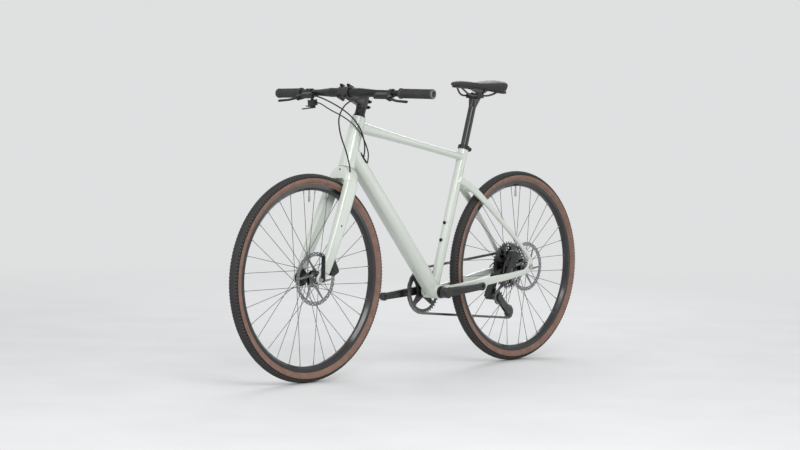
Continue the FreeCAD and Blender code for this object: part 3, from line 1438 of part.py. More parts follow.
def axle_rod(axle, spacing, thickness, left_hub, right_hub):
    """A through axle with a shoulder inside each dropout and a head outside the right one."""
    half = spacing / 2
    outer = half + thickness
    shaft = rod(axle - LEFT * outer, axle + LEFT * outer, AXLE_RADIUS)
    left = rod(axle + LEFT * (left_hub + BODY_GAP), axle + LEFT * half, AXLE_SHOULDER_RADIUS)
    right = rod(axle - LEFT * (right_hub + BODY_GAP), axle - LEFT * half, AXLE_SHOULDER_RADIUS)
    head = rod(axle - LEFT * outer, axle - LEFT * (outer + AXLE_HEAD_LENGTH), AXLE_HEAD_RADIUS)
    return fused(shaft, left, right, head)


def front_axle_lever_parts():
    """The left end of the front axle: a fixed cam head, and the lever that flips on it."""
    base = FRONT_AXLE + LEFT * (FRONT_SPACING / 2 + FORK_TIP_THICKNESS)
    pivot = base + LEFT * FRONT_LEVER_STANDOFF
    half = FRONT_LEVER_THICKNESS / 2 + BODY_GAP
    washer = rod(base, base + LEFT * AXLE_HEAD_LENGTH, AXLE_HEAD_RADIUS)
    ears = []
    for start in (half, -half - FRONT_LEVER_EAR_THICKNESS):
        face = base + FORWARD * start
        eye = pivot + FORWARD * start
        radii = (FRONT_LEVER_RADIUS, FRONT_LEVER_RADIUS)
        ears.append(plate(face, eye, radii[0], radii[1], FORWARD, FRONT_LEVER_EAR_THICKNESS))
    reach = FORWARD * (half + FRONT_LEVER_EAR_THICKNESS)
    pin = rod(pivot - reach, pivot + reach, FRONT_LEVER_PIN_RADIUS)
    trim = rod(base - LEFT * AXLE_HEAD_RADIUS, base, 2 * AXLE_HEAD_RADIUS)
    cam = fused(washer, *ears, pin).cut(trim)
    start = pivot - FORWARD * (FRONT_LEVER_THICKNESS / 2)
    tip = start + UP * FRONT_LEVER_LENGTH
    hub_radius = FRONT_LEVER_STANDOFF - AXLE_HEAD_LENGTH - BODY_GAP
    arm = plate(start, tip, hub_radius, FRONT_LEVER_TIP_RADIUS, FORWARD, FRONT_LEVER_THICKNESS)
    hole = rod(pivot - reach, pivot + reach, FRONT_LEVER_PIN_RADIUS + RUNNING_FIT)
    return cam, arm.cut(hole)


# Cranks and chainring
def crank_along(side):
    """The direction of one crank arm from the bottom bracket; the two are opposed."""
    tilt = math.radians(CRANK_TILT)
    return V(-side * math.cos(tilt), 0, side * math.sin(tilt))


def crank_arm(side):
    """One crank arm: a boss on the spindle, a tapered arm and an eye for the pedal."""
    along = crank_along(side)
    upright = along.cross(LEFT)
    out = LEFT * side
    boss = rod(
        BB + out * CRANK_BOSS_Y,
        BB + out * (CRANK_BOSS_Y + CRANK_BOSS_THICKNESS),
        CRANK_BOSS_RADIUS,
    )
    tip = BB + along * CRANK_LENGTH
    eye = rod(
        tip + out * CRANK_TIP_Y, tip + out * (CRANK_TIP_Y + CRANK_TIP_THICKNESS), CRANK_TIP_RADIUS
    )
    root = BB + out * (CRANK_BOSS_Y + CRANK_BOSS_THICKNESS - CRANK_ARM_ROOT_WIDTH / 2)
    end = tip + out * (CRANK_TIP_Y + CRANK_TIP_THICKNESS / 2)
    wires = [
        rounded_wire(root, LEFT, upright, CRANK_ARM_ROOT_WIDTH, CRANK_ARM_HEIGHT, CRANK_ARM_CORNER),
        rounded_wire(end, LEFT, upright, CRANK_TIP_THICKNESS, CRANK_ARM_TIP_HEIGHT, CRANK_ARM_CORNER),
    ]
    overrun = out * CUT_OVERRUN
    hole_end = tip + out * (CRANK_TIP_Y + CRANK_TIP_THICKNESS) + overrun
    hole = rod(tip + out * CRANK_TIP_Y - overrun, hole_end, PEDAL_HOLE_RADIUS)
    return fused(boss, eye, loft(wires)).cut(hole)


def crank_arms():
    """Right arm with its spider and spindle; left arm bored for the spindle, with its cap."""
    out = LEFT * -1
    ring_face = CHAIN_LINE + CHAINRING_THICKNESS / 2
    hub_start = BB + out * ring_face
    spider = [rod(hub_start, BB + out * (CRANK_BOSS_Y + SPIDER_THICKNESS), SPIDER_HUB_RADIUS)]
    arm_end = around(hub_start, CHAINRING_BOLT_CIRCLE, SPIDER_ARM_ANGLE, 0)
    arm = plate(hub_start, arm_end, CRANK_BOSS_RADIUS, SPIDER_ARM_RADIUS, out, SPIDER_THICKNESS)
    spider += ring_of(arm, BB, LEFT, CHAINRING_BOLT_COUNT)
    end = CRANK_BOSS_Y + CRANK_BOSS_THICKNESS
    spindle = rod(BB + out * ring_face, BB + LEFT * end, SPINDLE_RADIUS)
    cap = rod(BB + out * end, BB + out * (end + CRANK_BOLT_HEIGHT), CRANK_BOLT_RADIUS)
    right = fused(crank_arm(-1), *spider, spindle, cap)
    bore = rod(BB, BB + LEFT * (end + CUT_OVERRUN), SPINDLE_RADIUS + RUNNING_FIT)
    left = crank_arm(1).cut(bore)
    cap_end = BB + LEFT * (end + CRANK_BOLT_HEIGHT)
    left_cap = rod(BB + LEFT * end, cap_end, CRANK_BOSS_RADIUS * LEFT_CAP_SHARE)
    return [right, left, left_cap.cut(left)]


def bottom_bracket_cups():
    """The two threaded bearing cups."""
    cups = []
    for side in (1, -1):
        out = LEFT * side
        face = BB + out * (BB_SHELL_WIDTH / 2)
        flange = rod(face, face + out * BB_CUP_WIDTH, BB_CUP_RADIUS)
        sleeve = rod(face, face - out * BB_CUP_SLEEVE, BB_SHELL_BORE_RADIUS - RUNNING_FIT)
        bore_end = face + out * (BB_CUP_WIDTH + CUT_OVERRUN)
        bore = rod(BB, bore_end, SPINDLE_RADIUS + RUNNING_FIT)
        cups.append(fused(flange, sleeve).cut(bore))
    return cups


# Sprockets and chain
def pitch_radius(teeth):
    """The radius at which chain rollers sit on a sprocket."""
    return CHAIN_PITCH / (2 * math.sin(math.pi / teeth))


def in_plane(centre, radius, angle):
    """A point on a circle in the bike's middle plane; angle in radians up from forward."""
    return centre + V(radius * math.cos(angle), 0, radius * math.sin(angle))


def toothed_face(centre, teeth, phase):
    """A sprocket outline with a roller seat at the phase angle."""
    radius = pitch_radius(teeth)
    step = 2 * math.pi / teeth
    edges = []
    for index in range(teeth):
        angle = phase + index * step
        seat = in_plane(centre, radius, angle)
        inward = in_plane(V(0, 0, 0), -TOOTH_ROOT_RADIUS, angle)
        tangent = V(-math.sin(angle), 0, math.cos(angle)) * TOOTH_ROOT_RADIUS
        start = seat - tangent
        end = seat + tangent
        tip_angle = angle + step / 2
        tip = in_plane(centre, radius + TOOTH_HEIGHT, tip_angle)
        tip_side = V(-math.sin(tip_angle), 0, math.cos(tip_angle)) * TOOTH_TIP_HALF_WIDTH
        next_angle = angle + step
        next_seat = in_plane(centre, radius, next_angle)
        next_tangent = V(-math.sin(next_angle), 0, math.cos(next_angle)) * TOOTH_ROOT_RADIUS
        edges.append(Part.Arc(start, seat + inward, end).toShape())
        edges.append(Part.makeLine(end, tip - tip_side))
        edges.append(Part.makeLine(tip - tip_side, tip + tip_side))
        edges.append(Part.makeLine(tip + tip_side, next_seat - next_tangent))
    return Part.Face(Part.Wire(edges))


def sprocket(centre, teeth, phase, thickness, bore):
    """A toothed disc, centred on its plane, with a round bore."""
    half = LEFT * (thickness / 2)
    blank = toothed_face(centre - half, teeth, phase).extrude(half * 2)
    overrun = LEFT * CUT_OVERRUN
    return blank.cut(rod(centre - half - overrun, centre + half + overrun, bore))


LINK_WAY = turned(-LINK_ANGLE)
LINK_NORMAL = LINK_WAY.cross(LEFT)
BODY_PIVOT_OUTER = hanger_bolt() + LINK_WAY * KNUCKLE_TO_PIVOT
BODY_PIVOT_OUTER.y = -(KNUCKLE_Y + KNUCKLE_LENGTH - LINK_INSET)
BODY_PIVOT_INNER = BODY_PIVOT_OUTER + LEFT * LINK_SPACING
CHAIN_PLANE = LEFT * -CHAIN_LINE
GUIDE_PULLEY = BODY_PIVOT_OUTER + LINK_WAY * (LINK_LENGTH + PIVOT_TO_CAGE)
GUIDE_PULLEY.y = -CHAIN_LINE


def tension_pulley_at(degrees):
    """The lower pulley's centre for a cage angle below the rearward horizontal."""
    return GUIDE_PULLEY - turned(degrees) * CAGE_LENGTH


class ChainLoop:
    """The chain's closed path over four sprockets, walked one pitch at a time."""

    def __init__(self, cage_angle):
        ring = BB + CHAIN_PLANE
        cog = REAR_AXLE + CHAIN_PLANE
        self.circles = [
            (ring, CHAINRING_TEETH, -1),
            (tension_pulley_at(cage_angle), PULLEY_TEETH, -1),
            (GUIDE_PULLEY, PULLEY_TEETH, 1),
            (cog, COG_TEETH[CHAIN_COG], -1),
        ]
        self.pieces = []
        self.lay_path()
        self.length = sum(piece[-1] for piece in self.pieces)

    def tangent_angle(self, first, second):
        """The travel direction of the straight run between two sprockets."""
        gap = second[0] - first[0]
        offset = first[2] * pitch_radius(first[1]) - second[2] * pitch_radius(second[1])
        return math.atan2(gap.z, gap.x) + math.asin(offset / math.hypot(gap.x, gap.z))

    def touch(self, circle, angle):
        """Where the chain touches a sprocket when it travels at an angle."""
        return in_plane(circle[0], circle[2] * pitch_radius(circle[1]), angle - math.pi / 2)

    def lay_path(self):
        """Arcs and straight runs in travel order."""
        count = len(self.circles)
        angles = []
        for index, circle in enumerate(self.circles):
            angles.append(self.tangent_angle(circle, self.circles[(index + 1) % count]))
        for index, circle in enumerate(self.circles):
            arrive = angles[index - 1]
            leave = angles[index]
            sweep = (circle[2] * (leave - arrive)) % (2 * math.pi)
            arc_length = pitch_radius(circle[1]) * sweep
            self.pieces.append(("arc", circle, arrive, arc_length))
            start = self.touch(circle, leave)
            end = self.touch(self.circles[(index + 1) % count], leave)
            self.pieces.append(("run", start, end, (end - start).Length))

    def at(self, distance):
        """The point at a distance along the loop."""
        rest = distance % self.length
        for kind, first, second, length in self.pieces:
            if rest <= length:
                if kind == "run":
                    return first + (second - first) * (rest / length)
                angle = second + first[2] * rest / pitch_radius(first[1])
                return self.touch(first, angle)
            rest -= length
        return self.at(0)

    def step(self, distance):
        """The distance of the roller one pitch further on."""
        here = self.at(distance)
        low = distance + CHAIN_PITCH * CHAIN_STEP_SHARES[0]
        high = distance + CHAIN_PITCH * CHAIN_STEP_SHARES[1]
        for _ in range(CHAIN_SOLVE_STEPS):
            middle = (low + high) / 2
            if (self.at(middle) - here).Length < CHAIN_PITCH:
                low = middle
            else:
                high = middle
        return (low + high) / 2

    def walk(self, links):
        """Roller centres, and how far the last one overshoots the loop's start."""
        distance = 0
        points = []
        for _ in range(links):
            points.append(self.at(distance))
            distance = self.step(distance)
        return points, distance - self.length


def closed_chain():
    """A cage angle at which a whole, even number of links closes, with its roller centres."""
    nominal = ChainLoop(CAGE_ANGLE)
    links = 2 * round(nominal.length / CHAIN_PITCH / 2)
    low = CAGE_ANGLE - CAGE_SEARCH
    high = CAGE_ANGLE + CAGE_SEARCH
    low_over = ChainLoop(low).walk(links)[1]
    for _ in range(CAGE_SOLVE_STEPS):
        middle = (low + high) / 2
        over = ChainLoop(middle).walk(links)[1]
        if (over > 0) == (low_over > 0):
            low = middle
        else:
            high = middle
    angle = (low + high) / 2
    loop = ChainLoop(angle)
    return angle, loop, loop.walk(links)[0]


def roller_phase(loop, points, index):
    """The angle of a roller that is seated on one of the loop's sprockets."""
    centre, teeth = loop.circles[index][:2]
    radius = pitch_radius(teeth)
    seated = min(points, key=lambda point: abs((point - centre).Length - radius))
    offset = seated - centre
    return math.atan2(offset.z, offset.x)


def chain_link_shapes():
    """One inner and one outer link, lying along +X from the origin."""
    far = V(CHAIN_PITCH, 0, 0)
    inner_start = CHAIN_INNER_HALF_WIDTH
    outer_start = inner_start + CHAIN_PLATE_THICKNESS + CHAIN_PLATE_GAP
    ends = (V(0, 0, 0), far)
    radius = CHAIN_PLATE_RADIUS
    inner = []
    outer = []
    for way in (1, -1):
        side = LEFT * way
        for group, start in ((inner, inner_start), (outer, outer_start)):
            near_end = side * start
            group.append(
                plate(near_end, far + near_end, radius, radius, side, CHAIN_PLATE_THICKNESS)
            )
    for end in ends:
        roller_half = LEFT * CHAIN_INNER_HALF_WIDTH
        pin_half = LEFT * CHAIN_PIN_HALF_LENGTH
        inner.append(rod(end - roller_half, end + roller_half, ROLLER_RADIUS))
        outer.append(rod(end - pin_half, end + pin_half, CHAIN_PIN_RADIUS))
    inner_link = fused(*inner)
    for end in ends:
        pin_half = LEFT * CHAIN_PIN_HALF_LENGTH
        hole = rod(end - pin_half, end + pin_half, CHAIN_PIN_RADIUS + CHAIN_PIN_FIT)
        inner_link = inner_link.cut(hole)
    return inner_link, fused(*outer)


def chain(points):
    """Every link of the chain, placed between neighbouring roller centres."""
    shapes = chain_link_shapes()
    links = []
    for index, point in enumerate(points):
        after = points[(index + 1) % len(points)]
        gap = after - point
        link = shapes[index % 2].copy()
        turn = FreeCAD.Rotation(LEFT, -math.degrees(math.atan2(gap.z, gap.x)))
        link.Placement = FreeCAD.Placement(point, turn)
        links.append(link)
    return links


def cassette(phase):
    """Ten cogs with spacers on a freehub body, held by a lockring."""
    pieces = []
    half = COG_THICKNESS / 2
    last = len(COG_TEETH) - 1
    for index, teeth in enumerate(COG_TEETH):
        across = -(CHAIN_LINE + (CHAIN_COG - index) * COG_PITCH)
        centre = REAR_AXLE + LEFT * across
        cog = sprocket(centre, teeth, phase, COG_THICKNESS, COG_BORE_RADIUS)
        if teeth >= COG_WINDOW_MIN_TEETH:
            outer = pitch_radius(teeth) - COG_WEB_MARGIN
            slope = math.sin(math.pi / COG_WINDOW_COUNT) * COG_WINDOW_SHARE
            low = COG_SPACER_RADIUS / (1 - slope)
            high = outer / (1 + slope)
            low_at = around(centre, low, 0, 0) - LEFT * CUT_OVERRUN
            high_at = around(centre, high, 0, 0) - LEFT * CUT_OVERRUN
            window = plate(low_at, high_at, low * slope, high * slope, LEFT, 2 * CUT_OVERRUN)
            windows = ring_of(window, centre, LEFT, COG_WINDOW_COUNT)
            cog = cog.cut(Part.makeCompound(windows))
        pieces.append(cog)
        if index < last:
            start = centre + LEFT * half
            end = start + LEFT * (COG_PITCH - COG_THICKNESS)
            pieces.append(pipe(start, end, COG_SPACER_RADIUS, COG_BORE_RADIUS))
    first_face = -(CHAIN_LINE + CHAIN_COG * COG_PITCH) - half
    last_face = first_face + last * COG_PITCH + COG_THICKNESS
    outer_end = REAR_AXLE + LEFT * (first_face - LOCKRING_LIP)
    inner_end = REAR_AXLE + LEFT * (last_face + FREEHUB_OVERHANG)
    body = pipe(outer_end, inner_end, FREEHUB_RADIUS, AXLE_RADIUS + RUNNING_FIT)
    flange_start = REAR_AXLE + LEFT * last_face
    flange = pipe(flange_start, inner_end, COG_SPACER_RADIUS, AXLE_RADIUS + RUNNING_FIT)
    ring_start = REAR_AXLE + LEFT * first_face
    ring = pipe(outer_end, ring_start, COG_SPACER_RADIUS, FREEHUB_RADIUS + SEAT_GAP)
    return pieces + [fused(body, flange), ring]


# Rear derailleur
def derailleur_cheeks(top, length):
    """Two side plates that run down from a level, with the pins of both links' pivots."""
    half = LINK_WIDTH / 2 + BODY_GAP
    middle = top + LINK_WAY * (length / 2)
    across = LINK_SPACING + 2 * CHEEK_REACH
    upright = length + 2 * CHEEK_REACH
    shapes = []
    for start in (half, -half - CHEEK_THICKNESS):
        centre = middle + LINK_NORMAL * start
        wire = rounded_wire(centre, LEFT, LINK_WAY, across, upright, CHEEK_REACH - BODY_GAP)
        shapes.append(Part.Face(wire).extrude(LINK_NORMAL * CHEEK_THICKNESS))
    return shapes


def link_pins(outer, inner):
    """Pivot pins through both cheeks."""
    reach = LINK_NORMAL * (LINK_WIDTH / 2 + BODY_GAP + CHEEK_THICKNESS)
    return [rod(pivot - reach, pivot + reach, LINK_PIN_RADIUS) for pivot in (outer, inner)]


def derailleur_link(body_pivot):
    """One bar of the parallelogram, bored at both ends."""
    base = body_pivot - LINK_NORMAL * (LINK_WIDTH / 2)
    far = LINK_WAY * LINK_LENGTH
    bar = plate(base, base + far, LINK_END_RADIUS, LINK_END_RADIUS, LINK_NORMAL, LINK_WIDTH)
    reach = LINK_NORMAL * LINK_WIDTH
    for pivot in (body_pivot, body_pivot + far):
        bar = bar.cut(rod(pivot - reach, pivot + reach, LINK_PIN_RADIUS + RUNNING_FIT))
    return bar


def derailleur_body():
    """The upper knuckle on the hanger, with its bolt and the links' upper pins."""
    bolt = hanger_bolt()
    start = V(bolt.x, -KNUCKLE_Y, bolt.z)
    end = start - LEFT * KNUCKLE_LENGTH
    barrel = rod(start, end, KNUCKLE_RADIUS)
    stud = rod(bolt + LEFT * HANGER_THICKNESS, start, HANGER_BOLT_RADIUS)
    middle = (BODY_PIVOT_OUTER + BODY_PIVOT_INNER) * 0.5
    top = middle - LINK_WAY * KNUCKLE_TO_PIVOT
    cheeks = derailleur_cheeks(top, KNUCKLE_TO_PIVOT)
    return fused(barrel, stud, *cheeks, *link_pins(BODY_PIVOT_OUTER, BODY_PIVOT_INNER))


def derailleur_knuckle():
    """The lower knuckle, with the links' lower pins and the cage's pivot pin."""
    far = LINK_WAY * LINK_LENGTH
    outer = BODY_PIVOT_OUTER + far
    inner = BODY_PIVOT_INNER + far
    middle = (outer + inner) * 0.5
    cheeks = derailleur_cheeks(middle, PIVOT_TO_CAGE)
    outside = -(KNUCKLE_Y + KNUCKLE_LENGTH)
    cage_face = -(CHAIN_LINE + CAGE_HALF_GAP + CAGE_PLATE_THICKNESS + BODY_GAP)
    axis = V(GUIDE_PULLEY.x, 0, GUIDE_PULLEY.z)
    barrel = rod(axis + LEFT * outside, axis + LEFT * cage_face, KNUCKLE_RADIUS)
    pin_end = -(CHAIN_LINE + CAGE_HALF_GAP)
    pin = rod(axis + LEFT * cage_face, axis + LEFT * pin_end, CAGE_PIN_RADIUS)
    return fused(barrel, pin, *cheeks, *link_pins(outer, inner))


def derailleur_cage(tension):
    """Two cage plates joined by the lower pulley's bolt, a tab and the upper pulley's bolt."""
    outer_face = LEFT * -(CAGE_HALF_GAP + CAGE_PLATE_THICKNESS)
    inner_face = LEFT * CAGE_HALF_GAP
    radius = CAGE_PLATE_RADIUS
    plates = []
    for face in (outer_face, inner_face):
        first = GUIDE_PULLEY + face
        plates.append(
            plate(first, tension + face, radius, radius, LEFT, CAGE_PLATE_THICKNESS)
        )
    inside = inner_face + LEFT * CAGE_PLATE_THICKNESS
    lower_bolt = rod(tension + outer_face, tension + inside, PULLEY_BOLT_RADIUS)
    upper_end = GUIDE_PULLEY - LEFT * (CAGE_HALF_GAP - BODY_GAP)
    upper_bolt = rod(upper_end, GUIDE_PULLEY + inside, PULLEY_BOLT_RADIUS)
    along = unit(tension - GUIDE_PULLEY)
    side = along.cross(LEFT)
    tab_middle = (GUIDE_PULLEY + tension) * 0.5 + side * CAGE_TAB_OFFSET
    tab = rod(tab_middle + outer_face, tab_middle + inside, CAGE_TAB_RADIUS)
    reach = LEFT * (2 * CAGE_PLATE_THICKNESS)
    hole_middle = GUIDE_PULLEY + outer_face
    hole = rod(hole_middle - reach, hole_middle + reach, CAGE_PIN_RADIUS + RUNNING_FIT)
    return fused(plates[0].cut(hole), plates[1], lower_bolt, upper_bolt, tab)


def pulley(centre, phase):
    """A toothed jockey wheel with a wider hub."""
    half = LEFT * PULLEY_HUB_HALF_WIDTH
    wheel = sprocket(centre, PULLEY_TEETH, phase, PULLEY_THICKNESS, PULLEY_BOLT_RADIUS)
    hub_rod = rod(centre - half, centre + half, PULLEY_HUB_RADIUS)
    bore = rod(centre - half * 2, centre + half * 2, PULLEY_BOLT_RADIUS + RUNNING_FIT)
    return fused(wheel, hub_rod).cut(bore)


# Seatpost and saddle
POST_TOP = seat_point(SEAT_TUBE_LENGTH + POST_EXPOSED)
HEAD_TOP_CENTRE = POST_TOP + V(-POST_HEAD_SETBACK, 0, POST_HEAD_RISE)
RAIL_Z = HEAD_TOP_CENTRE.z + CRADLE_HEIGHT
SADDLE_NOSE_X = HEAD_TOP_CENTRE.x + SADDLE_NOSE_AHEAD
SADDLE_TOP_Z = RAIL_Z + SADDLE_RISE


def cradle_bolt_places():
    """Where the two saddle clamp bolts stand."""
    half = FORWARD * (CRADLE_BOLT_SPREAD / 2)
    return (HEAD_TOP_CENTRE + half, HEAD_TOP_CENTRE - half)


def seatpost():
    """The hollow post with its forged head."""
    bottom = seat_point(SEAT_TUBE_LENGTH + POST_EXPOSED - POST_LENGTH)
    tube = rod(bottom, POST_TOP, POST_RADIUS)
    neck = seat_point(SEAT_TUBE_LENGTH + POST_EXPOSED - POST_NECK)
    size = 2 * POST_RADIUS
    wires = [
        rounded_wire(neck, SEAT_FORWARD, LEFT, size, size, POST_RADIUS - SEAT_GAP),
        rounded_wire(
            HEAD_TOP_CENTRE, FORWARD, LEFT, POST_HEAD_LENGTH, POST_HEAD_WIDTH, POST_HEAD_CORNER
        ),
    ]
    bore_top = seat_point(SEAT_TUBE_LENGTH + POST_EXPOSED - POST_NECK)
    bore = rod(bottom - SEAT_UP * CUT_OVERRUN, bore_top, POST_RADIUS - POST_WALL)
    lid = Part.Face(
        rounded_wire(HEAD_TOP_CENTRE, FORWARD, LEFT, POST_LENGTH, POST_LENGTH, POST_HEAD_CORNER)
    ).extrude(UP * POST_LENGTH)
    post = fused(tube, loft(wires)).cut(bore).cut(lid)
    for place in cradle_bolt_places():
        hole_top = place + UP * POST_BOLT_DEPTH
        hole = rod(place - UP * POST_BOLT_DEPTH, hole_top, CRADLE_BOLT_RADIUS + SEAT_GAP)
        post = post.cut(hole)
    return post


def saddle_clamp():
    """Lower and upper cradle plates around the rails, and their two bolts."""
    lower_face = HEAD_TOP_CENTRE
    middle = HEAD_TOP_CENTRE + UP * CRADLE_HEIGHT
    pieces = []
    for start, height in (
        (lower_face, CRADLE_HEIGHT - BODY_GAP),
        (middle + UP * BODY_GAP, CRADLE_HEIGHT - BODY_GAP),
    ):
        wire = rounded_wire(start, FORWARD, LEFT, CRADLE_LENGTH, CRADLE_WIDTH, POST_HEAD_CORNER)
        block = Part.Face(wire).extrude(UP * height)
        for across in (RAIL_HALF_SPACING, -RAIL_HALF_SPACING):
            axis = V(middle.x, across, RAIL_Z)
            reach = FORWARD * CRADLE_LENGTH
            block = block.cut(rod(axis - reach, axis + reach, RAIL_RADIUS + SEAT_GAP))
        for place in cradle_bolt_places():
            top = place + UP * (3 * CRADLE_HEIGHT)
            hole = rod(place - UP * CRADLE_HEIGHT, top, CRADLE_BOLT_RADIUS + SEAT_GAP)
            block = block.cut(hole)
        pieces.append(block)
    for place in cradle_bolt_places():
        head_start = place + UP * (2 * CRADLE_HEIGHT)
        shank = rod(place - UP * POST_BOLT_REACH, head_start, CRADLE_BOLT_RADIUS)
        head = rod(head_start, head_start + UP * BOLT_HEAD_RISE, BOLT_HEAD_RADIUS)
        pieces.append(fused(shank, head))
    return pieces


def saddle_section(index, drop_top, drop_side, drop_under, width_shift):
    """One cross-section of the saddle: a crowned top, drawn-in flanks and a curved underside."""
    place = SADDLE_NOSE_X - SADDLE_STATION_SHARES[index] * SADDLE_LENGTH
    half = SADDLE_WIDTH_SHARES[index] * SADDLE_HALF_WIDTH - width_shift
    low = half * SADDLE_FLANK_SHARE
    top = SADDLE_TOP_Z - drop_top
    side = SADDLE_TOP_Z - drop_side
    widest = top + (side - top) * SADDLE_WIDEST_SHARE
    left_wide = V(place, half, widest)
    right_wide = V(place, -half, widest)
    left_low = V(place, low, side)
    right_low = V(place, -low, side)
    return Part.Wire(
        [
            Part.Arc(left_wide, V(place, 0, top), right_wide).toShape(),
            Part.makeLine(right_wide, right_low),
            Part.Arc(right_low, V(place, 0, SADDLE_TOP_Z - drop_under), left_low).toShape(),
            Part.makeLine(left_low, left_wide),
        ]
    )


def saddle_pad():
    """The padded top, from nose to tail."""
    rows = zip(SADDLE_TOP_DROPS, SADDLE_SIDE_DROPS, SADDLE_UNDER_DROPS)
    return loft(
        [saddle_section(index, top, side, under, 0) for index, (top, side, under) in enumerate(rows)]
    )


def saddle_base(pad):
    """The thin shell under the pad."""
    wires = []
    last = len(SADDLE_STATION_SHARES) - 1
    rows = zip(SADDLE_SIDE_DROPS, SADDLE_UNDER_DROPS)
    for index, (side, under) in enumerate(rows):
        if 0 < index < last:
            place = SADDLE_NOSE_X - SADDLE_STATION_SHARES[index] * SADDLE_LENGTH
            half = SADDLE_WIDTH_SHARES[index] * SADDLE_HALF_WIDTH * SADDLE_FLANK_SHARE
            half -= SADDLE_BASE_INSET
            upper_side = SADDLE_TOP_Z - side + SADDLE_BASE_THICKNESS
            upper_middle = SADDLE_TOP_Z - under + SADDLE_BASE_THICKNESS
            lower_side = SADDLE_TOP_Z - side - SADDLE_BASE_THICKNESS
            lower_middle = SADDLE_TOP_Z - under - SADDLE_BASE_THICKNESS
            corners = [
                V(place, half, upper_side),
                V(place, -half, upper_side),
                V(place, -half, lower_side),
                V(place, half, lower_side),
            ]
            wires.append(
                Part.Wire(
                    [
                        Part.Arc(corners[0], V(place, 0, upper_middle), corners[1]).toShape(),
                        Part.makeLine(corners[1], corners[2]),
                        Part.Arc(corners[2], V(place, 0, lower_middle), corners[3]).toShape(),
                        Part.makeLine(corners[3], corners[0]),
                    ]
                )
            )
    shell = loft(wires).cut(pad)
    return max(shell.Solids, key=lambda solid: solid.Volume)


def saddle_rails(base, pad):
    """Two bent rails from the nose socket to the tail sockets."""
    rails = []
    for side in (1, -1):
        points = [
            V(HEAD_TOP_CENTRE.x + ahead, side * out, RAIL_Z + rise)
            for ahead, out, rise in SADDLE_RAIL_ROUTE
        ]
        tube = route_tube(points, RAIL_RADIUS)[0]
        trimmed = tube.cut(base).cut(pad)
        rails.append(max(trimmed.Solids, key=lambda solid: solid.Volume))
    return rails


def seat_clamp():
    """The split collar at the top of the seat tube, and its bolt."""
    bottom = SEAT_TUBE_LENGTH - COLLAR_HEIGHT + COLLAR_STANDOUT
    top = SEAT_TUBE_LENGTH + COLLAR_STANDOUT
    ring = rod(seat_point(bottom), seat_point(top), COLLAR_RADIUS)
    middle = (bottom + top) / 2
    ear_centre = seat_point(bottom, -COLLAR_RADIUS)
    wire = rounded_wire(
        ear_centre, SEAT_FORWARD, LEFT, 2 * COLLAR_EAR_LENGTH, COLLAR_EAR_WIDTH, COLLAR_BOLT_RADIUS
    )
    ear = Part.Face(wire).extrude(SEAT_UP * COLLAR_HEIGHT)
    seat_top = seat_point(SEAT_TUBE_LENGTH)
    tube_space = rod(seat_point(bottom - CUT_OVERRUN), seat_top, SEAT_TUBE_RADIUS + RUNNING_FIT)
    post_space = rod(BB, seat_point(top + CUT_OVERRUN), POST_RADIUS + COLLAR_POST_GAP)
    slit_wire = rounded_wire(
        seat_point(bottom - CUT_OVERRUN, -COLLAR_RADIUS - COLLAR_EAR_LENGTH),
        SEAT_FORWARD,
        LEFT,
        2 * COLLAR_RADIUS,
        COLLAR_SLIT,
        COLLAR_SLIT / 3,
    )
    slit = Part.Face(slit_wire).extrude(SEAT_UP * (COLLAR_HEIGHT + 2 * CUT_OVERRUN))
    reach = COLLAR_EAR_WIDTH / 2
    bolt_at = -COLLAR_RADIUS - COLLAR_EAR_LENGTH / 2
    left = seat_point(middle, bolt_at, reach)
    right = seat_point(middle, bolt_at, -reach)
    hole = rod(left, right, COLLAR_BOLT_RADIUS + SEAT_GAP)
    collar = fused(ring, ear).cut(tube_space).cut(post_space).cut(slit).cut(hole)
    shank = rod(left, right, COLLAR_BOLT_RADIUS)
    head = rod(left, left + LEFT * BOLT_HEAD_RISE, BOLT_HEAD_RADIUS)
    return [collar, fused(shank, head)]


# Frame fittings and hoses
def down_tube_skin():
    """The down tube's outside, and the same grown by the port's height."""
    upright = down_tube_axes()[1]
    skins = []
    for grow in (0, 2 * PORT_HEIGHT):
        wires = []
        for point, width, height in (
            (BB, DOWN_TUBE_BB_WIDTH, DOWN_TUBE_BB_HEIGHT),
            (DOWN_TUBE_HEAD, DOWN_TUBE_HEAD_WIDTH, DOWN_TUBE_HEAD_HEIGHT),
        ):
            corner = DOWN_TUBE_CORNER + grow / 2
            wires.append(
                rounded_wire(point, LEFT, upright, width + grow, height + grow, corner)
            )
        skins.append(loft(wires))
    return skins


def hose_port():
    """The oval insert on the upper left of the down tube that takes both hoses."""
    along, upright = down_tube_axes()
    inner, outer = down_tube_skin()
    outward = unit(upright + LEFT * PORT_LEAN_SHARE)
    across = along.cross(outward)
    centre = DOWN_TUBE_HEAD - along * PORT_FROM_HEAD
    wire = rounded_wire(centre, along, across, PORT_LENGTH, PORT_WIDTH, PORT_WIDTH / 2 - SEAT_GAP)
    post = Part.Face(wire).extrude(outward * DOWN_TUBE_HEAD_HEIGHT)
    return outer.cut(inner).common(post).cut(head_envelope())


def boss_places():
    """Where the bottle bosses stand: a point on each tube's surface, and the way out of it."""
    along, upright = down_tube_axes()
    seat_tube_places = []
    down_tube_places = []
    for index in range(2):
        at = BOSS_LOWER + index * BOSS_SPACING
        share = at / (DOWN_TUBE_HEAD - BB).Length
        grow = (DOWN_TUBE_HEAD_HEIGHT - DOWN_TUBE_BB_HEIGHT) * share
        surface = (DOWN_TUBE_BB_HEIGHT + grow) / 2
        seat_tube_places.append((seat_point(at, SEAT_TUBE_RADIUS), SEAT_FORWARD))
        down_tube_places.append((BB + along * at + upright * surface, upright))
    return seat_tube_places, down_tube_places


